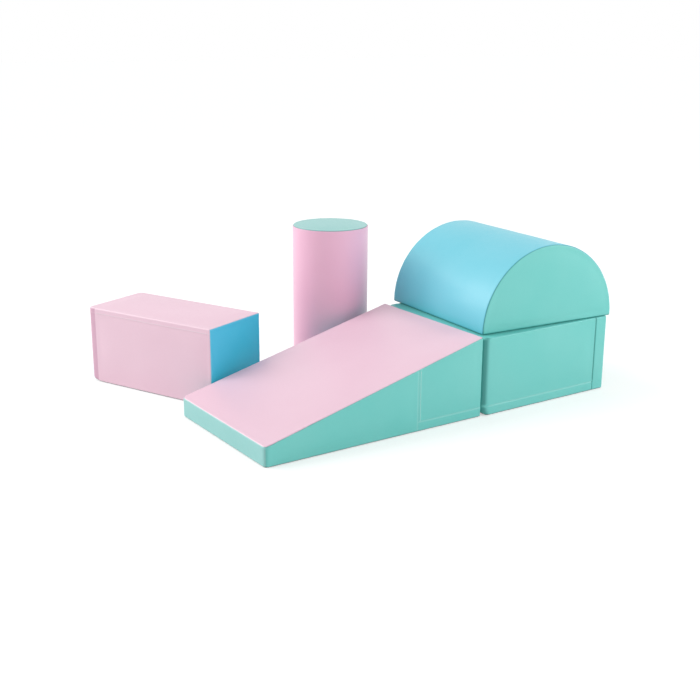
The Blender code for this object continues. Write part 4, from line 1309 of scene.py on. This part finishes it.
class PLAYSET_OT_half_round(bpy.types.Operator):
    """Sew the half round's cover over its foam core"""

    bl_idname = "playset.half_round"
    bl_label = "Sew the half round"

    def execute(self, context):
        sizes, covers, _ = settings_of(context.scene)
        half, rise = sizes.half_round_span / 2, sizes.half_round_rise
        wide, band = sizes.shared_width, sizes.band_height
        run = zip_of("half_round", context.scene)[3]

        def arch_facing(co):
            return Vector((co.x / half ** 2, 0, max(co.z, 0) / rise ** 2)).normalized()

        sides = [Side("arch", arch_facing), Side("near", -Y), Side("far", Y, True), Side("under", -Z, True)]
        panels = [
            ("arch_panel", "arch", "sky blue"), ("near_end_panel", "near", "teal"),
            ("underside", "under", "teal"), *far_panels("teal", band),
        ]
        # These seams paint the shadow under the arch's and the near end's foot, where it rests on the square
        # block
        seams = {"shadow_gap": [("arch_panel", "underside"), ("near_end_panel", "underside")]}
        block = Block("half_round", context.scene, sides, panels, covers.tight_edge, seams=seams,
                      foot=-covers.foot_sag)
        skin = self.add_blank(half, rise, wide)
        round_edges(skin, block)
        cut(skin, Y, Ends(covers).places(-wide / 2, wide / 2))
        self.cut_ends(skin, half, rise, covers)
        below, above = slot_edges(band, context.scene)
        cut(skin, Z, [below, band, above])
        cut(skin, X, [-run / 2, run / 2])
        self.hang_foot(skin, half, wide, covers)
        dress(skin, block, seed=3)
        return {"FINISHED"}

    def add_blank(self, half, rise, wide):
        """A half round drawn as a rim, filled and drawn out to the block's width."""
        deselect_all()
        bpy.ops.mesh.primitive_circle_add(vertices=ROUND_STEPS, radius=1.0, fill_type="NOTHING",
                                          rotation=(math.pi / 2, 0, 0), location=(0, -wide / 2, 0))
        skin = bpy.context.object
        skin.name = skin.data.name = "half_round_skin"
        skin.scale = (half, rise, 1.0)
        settle(skin)
        edit(skin)
        choose(skin, "VERT", lambda v: v.co.z < -CLOSE)
        bpy.ops.mesh.delete(type="VERT")
        choose(skin, "VERT", lambda v: CLOSE < v.co.z < ROUND_FOOT)
        bpy.ops.mesh.dissolve_verts()
        choose(skin, "VERT", lambda v: v.co.z < CLOSE)
        bpy.ops.mesh.edge_face_add()
        choose(skin, "EDGE", lambda e: all(v.co.z < CLOSE for v in e.verts))
        bpy.ops.mesh.subdivide(number_cuts=UNDER_CUTS)
        bpy.ops.mesh.select_all(action="SELECT")
        bpy.ops.mesh.edge_face_add()
        bpy.ops.mesh.extrude_region_move(TRANSFORM_OT_translate={"value": (0, wide, 0)})
        bpy.ops.mesh.select_all(action="SELECT")
        bpy.ops.mesh.normals_make_consistent(inside=False)
        leave()
        return skin

    def cut_ends(self, skin, half, rise, covers):
        """Ring each flat end inside its rim, and cut what lies within the rings into a grid."""
        rim = covers.crisp_edge + sum(END_RINGS) - RIM_OVERLAP

        def in_rim(face):
            x, _, z = face.calc_center_median()
            inside = (x / (half - rim)) ** 2 + (z / (rise - rim)) ** 2 < 1
            return abs(face.normal.y) > FLAT and z > rim and inside

        edit(skin)
        for end in (-Y, Y):
            choose(skin, "FACE", lambda f: f.normal.dot(end) > FLAT and len(f.verts) > MANY)
            for ring in END_RINGS:
                bpy.ops.mesh.inset(thickness=ring, use_even_offset=True)
        for axis, low, high in ((X, -half, half), (Z, 0.0, rise)):
            for place in cut_places(low + RIM_WIDTH, high - RIM_WIDTH, covers.grid):
                choose(skin, "FACE", in_rim)
                bpy.ops.mesh.bisect(plane_co=axis * place, plane_no=axis, threshold=RIM_THRESHOLD)
        leave()

    def hang_foot(self, skin, half, wide, covers):
        """Let the foot's rim hang past the strips that it rests on."""
        places = positions(skin.data)
        sideways, endways = np.abs(places[:, 0]) - half, np.abs(places[:, 1]) - wide / 2
        reach = np.maximum(sideways, endways) + HANG_MARGIN
        hang = np.clip(reach / HANG_REACH, 0, 1) ** 2 * np.clip(1 - places[:, 2] / HANG_HEIGHT, 0, 1)
        places[:, 2] -= covers.foot_sag * hang
        move_to(skin.data, places)


class PLAYSET_OT_bar(bpy.types.Operator):
    """Sew the loose bar's cover over its foam core"""

    bl_idname = "playset.bar"
    bl_label = "Sew the bar"

    def execute(self, context):
        sizes, covers, _ = settings_of(context.scene)
        long, wide, tall, band = sizes.bar_length, sizes.bar_width, sizes.bar_height, sizes.band_height
        seam = sizes.bar_seam - long / 2
        panels = [
            ("top_panel", "top", "pink"), ("near_side_panel", "near", "pink", lambda co: co.x > seam),
            # the corner strip's deeper pink is painted shade of the rounded upright
            ("near_corner_strip", "near", "deep pink", lambda co: co.x < seam),
            ("left_end_panel", "left", "blue"), ("right_end_panel", "right", "blue"),
            ("underside", "under", "non-slip"), *far_panels("pink", band),
        ]
        # These seams paint a little shade at the corner strip's seam and pale highlights along the top's
        # edges and the right end's near edge; the hem's ridge under the top gets a painted highlight too
        seams = {"fold": [("near_corner_strip", "near_side_panel")],
                 "pale": [("top_panel", "near_side_panel"), ("top_panel", "near_corner_strip"),
                          ("top_panel", "far_side_panel"), ("top_panel", "right_end_panel"),
                          ("near_side_panel", "right_end_panel")]}
        corner, hem = 2 * covers.eased_edge, tall - 2 * covers.hem
        block = Block("bar", context.scene, box_sides(rests=("under", "far")), panels, covers.crisp_edge,
                      {("left", "near"): corner, ("left", "far"): corner}, seams,
                      lambda co: abs(co.z - hem) if on_near_face(co, wide) else FAR)
        skin = add_box("bar", long, wide, tall)
        round_edges(skin, block)
        cut_box(skin, "bar", context.scene, (long, wide, tall), seam, [band, hem])
        lift_foot(skin, -long / 2, 2 * covers.soft_edge, covers.foot_lift)
        dress(skin, block, seed=4)
        return {"FINISHED"}


class PLAYSET_OT_cylinder(bpy.types.Operator):
    """Sew the cylinder's cover over its foam core"""

    bl_idname = "playset.cylinder"
    bl_label = "Sew the cylinder"

    def execute(self, context):
        sizes, covers, fittings = settings_of(context.scene)
        radius, tall = sizes.cylinder_diameter / 2, sizes.cylinder_height
        sides = [Side("wrap", lambda co: Vector((co.x, co.y, 0)).normalized(), True), Side("top", Z),
                 Side("foot", -Z, True)]
        # the side's rose is the pink with painted shade
        panels = [("side_wrap", "wrap", "rose"), ("top_disc", "top", "disc teal"),
                  ("foot_disc", "foot", "non-slip")]
        block = Block("cylinder", context.scene, sides, panels, covers.crisp_edge)
        deselect_all()
        bpy.ops.mesh.primitive_cylinder_add(vertices=CYLINDER_STEPS, radius=radius, depth=tall,
                                            location=(0, 0, tall / 2))
        skin = bpy.context.object
        skin.name = skin.data.name = "cylinder_skin"
        settle(skin)
        round_edges(skin, block)
        low = covers.crisp_edge + CRISP_MARGIN
        zip_ends = [fittings.cylinder_zip_foot, tall - fittings.cylinder_zip_top]
        cut(skin, Z, cut_places(low, tall - low, covers.grid, [low, tall - low]) + zip_ends)
        for end in (-Z, Z):
            ring_end(skin, lambda f: f.normal.dot(end) > FLAT and len(f.verts) > MANY, DISC_RINGS)
        edit(skin)
        for place in sorted([0.0, *slot_edges(0.0, context.scene)]):
            choose(skin, "FACE", lambda f: f.normal.y > NEARLY_FLAT)
            bpy.ops.mesh.bisect(plane_co=X * place, plane_no=X, threshold=CUT_THRESHOLD)
        leave()
        dress(skin, block, seed=5)
        return {"FINISHED"}


class PLAYSET_OT_zips(bpy.types.Operator):
    """Make the coil zips on their tapes"""

    bl_idname = "playset.zips"
    bl_label = "Make the zips"

    def execute(self, context):
        fittings = context.scene.play_set_fittings
        for name in NAMES:
            run = zip_of(name, context.scene)[3]
            place = zip_frame(name, context.scene)
            for label, side in (("lower", -1), ("upper", 1)):
                tape = self.add_tape(f"{name}_zip_{label}_tape", run, side, fittings)
                coil = self.add_coil(f"{name}_zip_{label}_coil", run, side, fittings)
                for piece, finish in ((tape, "Zip tape"), (coil, "Zip coil")):
                    fit(piece, place, finish, name)
                    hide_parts(name + "_zip_chain")
            for label, end in (("first", -1), ("last", 1)):
                stop = self.add_stop(f"{name}_zip_{label}_stop", run, end, fittings)
                fit(stop, place, "Zip coil", name)
                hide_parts(name + "_zip_chain")
        return {"FINISHED"}

    def add_tape(self, name, run, side, fittings):
        """One tape, with its edge by the slit rolled up a little under the coil."""
        inner, outer = side * (fittings.coil_slit + END_SUNK), side * fittings.tape_reach
        top, end = -fittings.tape_top, run / 2 + END_SPARE
        tape = add_cube(name, (-end, min(inner, outer), top - fittings.tape_thickness),
                        (end, max(inner, outer), top))
        modify(tape, "BEVEL", width=TAPE_RIM, segments=2)
        beside = fittings.coil_reach + TAPE_STEP
        cut(tape, Y, [side * fittings.coil_reach, side * beside])
        edit(tape)
        choose(tape, "FACE", lambda f: abs(f.normal.z) > NEARLY_FLAT
               and abs(f.calc_center_median().y) > beside)
        bpy.ops.transform.translate(value=(0, 0, -TAPE_DROP))
        leave()
        return tape

    def add_coil(self, name, run, side, fittings):
        """One row of the coil's turns, half a pitch on from the other row's."""
        inner, outer = side * fittings.coil_slit, side * fittings.coil_reach
        low, reach = -fittings.tape_top, run / 2 - END_SPARE
        start = -reach + (fittings.coil_pitch / 2 if side > 0 else 0.0)
        coil = add_cube(name, (start, min(inner, outer), low),
                        (start + fittings.coil_wire, max(inner, outer), low + fittings.coil_height))
        modify(coil, "BEVEL", width=COIL_RIM, segments=1)
        count = int((reach - start - fittings.coil_wire) / fittings.coil_pitch) + 1
        modify(coil, "ARRAY", count=count, use_relative_offset=False, use_constant_offset=True,
               constant_offset_displace=(fittings.coil_pitch, 0, 0))
        return coil

    def add_stop(self, name, run, end, fittings):
        """The block of plastic that ends a zip."""
        inner, outer = end * (run / 2 - fittings.end_stop), end * (run / 2 - END_SUNK)
        low = -fittings.tape_top
        stop = add_cube(name, (min(inner, outer), -fittings.coil_reach, low),
                        (max(inner, outer), fittings.coil_reach, low + fittings.coil_height))
        modify(stop, "BEVEL", width=STOP_RIM, segments=3)
        return stop


STRIPS = {"ramp_loop_strip": ("ramp", X), "base_side_hook_strip": ("base", -X),
          "base_left_top_hook_strip": ("base", Z), "base_right_top_hook_strip": ("base", Z),
          "half_round_left_loop_strip": ("half_round", -Z), "half_round_right_loop_strip": ("half_round", -Z)}


def strip_frame(node, sizes):
    """A strip's own frame: X across it, Y along it, Z out of it and the origin in its middle."""
    name, out = STRIPS[node]
    low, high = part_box(node)
    turn = frame_of(name, sizes).to_3x3()
    axes = turn @ Matrix((Y.cross(out), Y, out)).transposed()
    return Matrix.Translation((low + high) / 2) @ axes.to_4x4()


class PLAYSET_OT_strips(bpy.types.Operator):
    """Make the hook and loop strips that join the blocks"""

    bl_idname = "playset.strips"
    bl_label = "Make the strips"

    def execute(self, context):
        sizes, _, fittings = settings_of(context.scene)
        half_width, half_length = fittings.strip_width / 2, fittings.strip_length / 2
        half_thick = fittings.strip_thickness / 2
        half_pile = half_length - fittings.strip_border + PILE_SPARE
        for node, (name, _) in STRIPS.items():
            strip = add_cube("sewn_on_" + node, (-half_width, -half_length, -half_thick),
                             (half_width, half_length, 0))
            edit(strip)
            choose(strip, "EDGE", lambda e: abs(e.verts[0].co.z - e.verts[1].co.z) > half_thick / 2)
            bpy.ops.mesh.bevel(offset=STRIP_CORNER, segments=4)
            choose(strip, "FACE", lambda f: f.normal.z > NEARLY_FLAT)
            bpy.ops.mesh.inset(thickness=fittings.strip_border)
            bpy.ops.mesh.extrude_region_move(TRANSFORM_OT_translate={"value": (0, 0, half_thick)})
            leave()
            place = strip_frame(node, sizes)
            fit(strip, place, "Hook and loop tape", name)
            strip.data.materials.append(bpy.data.materials["Hook and loop pile"])
            back = place.inverted()
            for face in strip.data.polygons:
                inside = back @ face.center
                if inside.z > PILE_DEPTH * half_thick and abs(inside.y) < half_pile:
                    face.material_index = 1
            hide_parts(node)
        return {"FINISHED"}


def fit(piece, place, finish, body):
    """Move a fitting to its place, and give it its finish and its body."""
    bpy.ops.object.shade_smooth_by_angle(angle=FITTING_SMOOTH_ANGLE)
    settle(piece, place)
    piece.data.materials.clear()
    piece.data.materials.append(bpy.data.materials[finish])
    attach(piece, body)


class PLAYSET_OT_stitches(bpy.types.Operator):
    """Sew the rows of stitches along the zips, the strips and the hems"""

    bl_idname = "playset.stitches"
    bl_label = "Sew the stitches"

    def execute(self, context):
        sizes, covers, fittings = settings_of(context.scene)
        beside = fittings.zip_window / 2 + ZIP_STITCH
        for name in NAMES:
            half = zip_of(name, context.scene)[3] / 2 + ZIP_STITCH
            rows = [((-half, -beside), (half, -beside)), ((-half, beside), (half, beside)),
                    ((-half, -beside), (-half, beside)), ((half, -beside), (half, beside))]
            self.sew_rows(name + "_zip_stitches", name, rows, zip_frame(name, context.scene), fittings)
        edge = fittings.strip_border / 2
        across, along = fittings.strip_width / 2 - edge, fittings.strip_length / 2 - edge
        box = [((-across, -along), (across, -along)), ((across, -along), (across, along)),
               ((across, along), (-across, along)), ((-across, along), (-across, -along))]
        for node, (name, _) in STRIPS.items():
            self.sew_rows(node + "_stitches", name, box, strip_frame(node, sizes), fittings, node)
        face = Matrix((X, Z, -Y)).transposed().to_4x4()
        hem = sizes.ramp_seam + covers.hem
        climb = (sizes.ramp_tall_height - sizes.ramp_low_height) / sizes.ramp_length
        top = sizes.ramp_low_height + hem * climb
        level = sizes.bar_height - 2 * covers.hem
        hems = {"ramp": ((hem, sizes.band_height + HEM_START), (hem, top - HEM_END)),
                "bar": ((sizes.bar_seam + HEM_START, level), (sizes.bar_length - HEM_END, level))}
        spans = {"ramp": (sizes.ramp_length, sizes.shared_width),
                 "bar": (sizes.bar_length, sizes.bar_width)}
        for name, row in hems.items():
            long, wide = spans[name]
            place = frame_of(name, sizes) @ Matrix.Translation((-long / 2, -wide / 2, 0))
            self.sew_rows(name + "_hem_stitches", name, [row], place @ face, fittings)
        return {"FINISHED"}

    def sew_rows(self, name, block, rows, place, fittings, strip=None):
        """Rows of stitches, each one seated on the cover or strip under it."""
        prefix = "sewn_on_" + strip if strip else "sewn_" + block + "_"
        under = surface_of([obj for obj in bpy.data.objects if obj.name.startswith(prefix)])
        made = []
        for start, end in rows:
            start, end = Vector(start), Vector(end)
            span = (end - start).length
            count = max(2, round(span / fittings.stitch_pitch))
            half_length, half_width = fittings.stitch_length / 2, fittings.stitch_width / 2
            row = add_cube(name, (-half_length, -half_width, -STITCH_SUNK),
                           (half_length, half_width, STITCH_PROUD))
            modify(row, "BEVEL", width=fittings.stitch_width * STITCH_RIM, segments=1)
            each = len(row.data.vertices)
            modify(row, "ARRAY", count=count, use_relative_offset=False, use_constant_offset=True,
                   constant_offset_displace=(span / count, 0, 0))
            heading = math.atan2(end.y - start.y, end.x - start.x)
            first = Matrix.Translation((*(start + (end - start) * 0.5 / count), 0.0))
            settle(row, place @ first @ Matrix.Rotation(heading, 4, "Z"))
            self.seat(row, each, place.to_3x3() @ Z, under)
            made.append(row)
        deselect_all()
        for row in made:
            row.select_set(True)
        bpy.context.view_layer.objects.active = made[0]
        bpy.ops.object.join()
        sewn = bpy.context.object
        sewn.name = sewn.data.name = name
        fit(sewn, Matrix.Identity(4), "Thread", block)

    def seat(self, row, each, out, under):
        """Move each stitch of a row out or in until it lies on what is under it."""
        places = positions(row.data).reshape(-1, each, 3)
        for stitch in places:
            middle = Vector(stitch.mean(axis=0))
            hit = under.ray_cast(middle + out * SEAT_REACH, -out, 2 * SEAT_REACH)[0]
            if hit is None:
                raise RuntimeError(f"{row.name}: no cover under a stitch at {tuple(middle)}")
            stitch += np.array(out * ((hit - middle).dot(out) + STITCH_LIFT))
        move_to(row.data, places.reshape(-1, 3))


def surface_of(objects):
    """One searchable surface of several pieces that sit at the origin."""
    places, faces = [], []
    for obj in objects:
        faces += [[len(places) + number for number in face.vertices] for face in obj.data.polygons]
        places += [vertex.co.copy() for vertex in obj.data.vertices]
    return bvhtree.BVHTree.FromPolygons(places, faces)


class PLAYSET_OT_metal(bpy.types.Operator):
    """Give the zips' sliders and pulls their metal and take off their sharp edges"""

    bl_idname = "playset.metal"
    bl_label = "Finish the sliders"

    def execute(self, context):
        for name, node in frame["nodes"].items():
            if node.hide_render:
                continue
            if not name.endswith(("zip_slider", "zip_pull")):
                raise RuntimeError(f"{name} is still shown and has no finish")
            node.data.materials.clear()
            node.data.materials.append(bpy.data.materials["Zip metal"])
            add_modifier(node, "WELD", merge_threshold=CLOSE)
            add_modifier(node, "BEVEL", width=METAL_RIM, segments=2, limit_method="ANGLE",
                         angle_limit=METAL_ANGLE)
        return {"FINISHED"}


class PLAYSET_OT_stage(bpy.types.Operator):
    """Set the floor, the lamps and the camera"""

    bl_idname = "playset.stage"
    bl_label = "Set the stage"

    def execute(self, context):
        stage = context.scene.play_set_stage
        self.add_floor(stage)
        self.add_light(context.scene, stage)
        self.add_camera(context.scene, stage)
        context.scene.view_settings.view_transform = "Standard"
        return {"FINISHED"}

    def add_floor(self, stage):
        deselect_all()
        bpy.ops.mesh.primitive_plane_add(size=stage.floor_size, location=(0, 0, -stage.floor_drop))
        floor = bpy.context.object
        floor.name = floor.data.name = "floor"
        material = bpy.data.materials.new("Studio floor")
        material.use_nodes = True
        tree = material.node_tree
        tree.nodes.clear()
        matte = tree.nodes.new("ShaderNodeBsdfDiffuse")
        matte.inputs["Color"].default_value = (*stage.floor, 1.0)
        white = tree.nodes.new("ShaderNodeEmission")
        white.inputs["Strength"].default_value = stage.floor_glow
        blend = tree.nodes.new("ShaderNodeMixShader")
        tree.links.new(math_node(tree, "MULTIPLY", seen_node(tree), stage.floor_whiteness), blend.inputs[0])
        tree.links.new(matte.outputs[0], blend.inputs[1])
        tree.links.new(white.outputs[0], blend.inputs[2])
        tree.links.new(blend.outputs[0], tree.nodes.new("ShaderNodeOutputMaterial").inputs["Surface"])
        floor.data.materials.append(material)

    def add_light(self, scene, stage):
        world = bpy.data.worlds.new("Studio")
        scene.world = world
        world.use_nodes = True
        tree = world.node_tree
        sky = tree.nodes["Background"]
        sky.inputs["Color"].default_value = (1.0, 1.0, 1.0, 1.0)
        white_to_eye = range_node(tree, seen_node(tree), 0.0, 1.0, stage.sky, 1.0)
        tree.links.new(white_to_eye, sky.inputs["Strength"])
        key = self.add_lamp("SUN", "key_light", stage.key_place, Vector((0, 0, 0)), stage.key_strength)
        key.angle = stage.key_spread
        for name, place, energy in (("fill_lamp", stage.fill_place, stage.fill_power),
                                    ("rear_lamp", stage.rear_place, stage.rear_power)):
            lamp = self.add_lamp("AREA", name, place, stage.lamp_aim, energy)
            lamp.shape = "DISK"
            lamp.size = stage.lamp_size

    def add_lamp(self, kind, name, place, aim, energy):
        """A lamp of a kind at a place, pointed at what it lights. Gives its data."""
        deselect_all()
        bpy.ops.object.light_add(type=kind, location=place)
        lamp = bpy.context.object
        lamp.name = lamp.data.name = name
        lamp.rotation_euler = (Vector(place) - Vector(aim)).to_track_quat("Z", "Y").to_euler()
        lamp.data.energy = energy
        return lamp.data

    def add_camera(self, scene, stage):
        yaw, pitch, roll = stage.camera_yaw, stage.camera_pitch, stage.camera_roll
        ahead = Vector((math.sin(yaw) * math.cos(pitch), math.cos(yaw) * math.cos(pitch), -math.sin(pitch)))
        level = Vector((math.cos(yaw), -math.sin(yaw), 0))
        upright = level.cross(ahead)
        right = math.cos(roll) * level + math.sin(roll) * upright
        up = math.cos(roll) * upright - math.sin(roll) * level
        data = bpy.data.cameras.new("camera")
        data.sensor_width = SENSOR_WIDTH
        data.lens = stage.focal_pixels / IMAGE_SIZE * SENSOR_WIDTH
        data.clip_start, data.clip_end = CLIP
        camera = bpy.data.objects.new("camera", data)
        scene.collection.objects.link(camera)
        camera.matrix_world = (Matrix.Translation(stage.camera_place)
                               @ Matrix((right, up, -ahead)).transposed().to_4x4())
        scene.camera = camera


class PLAYSET_PT_panel(bpy.types.Panel):
    """The play set's steps, in the order that they are made"""

    bl_idname = "PLAYSET_PT_panel"
    bl_label = "Foam play set"
    bl_space_type = "VIEW_3D"
    bl_region_type = "UI"
    bl_category = "Play Set"

    def draw(self, context):
        for step in STEPS:
            self.layout.operator(step.bl_idname)
        for holder in SETTINGS:
            settings = getattr(context.scene, holder)
            box = self.layout.box()
            for field in settings.__annotations__:
                box.prop(settings, field)


STEPS = [PLAYSET_OT_finishes, PLAYSET_OT_ramp, PLAYSET_OT_base, PLAYSET_OT_half_round, PLAYSET_OT_bar,
         PLAYSET_OT_cylinder, PLAYSET_OT_zips, PLAYSET_OT_strips, PLAYSET_OT_stitches, PLAYSET_OT_metal,
         PLAYSET_OT_stage]
SETTINGS = {"play_set_sizes": PlaySetSizes, "play_set_covers": PlaySetCovers,
            "play_set_fittings": PlaySetFittings, "play_set_finishes": PlaySetFinishes,
            "play_set_stage": PlaySetStage}
CLASSES = [*SETTINGS.values(), *STEPS, PLAYSET_PT_panel]


def register():
    for item in CLASSES:
        bpy.utils.register_class(item)
    for name, kind in SETTINGS.items():
        setattr(bpy.types.Scene, name, PointerProperty(type=kind))


def unregister():
    for name in SETTINGS:
        delattr(bpy.types.Scene, name)
    for item in reversed(CLASSES):
        bpy.utils.unregister_class(item)


def main():
    register()
    for step in STEPS:
        getattr(bpy.ops.playset, step.bl_idname.partition(".")[2])()


if __name__ == "__main__":
    main()
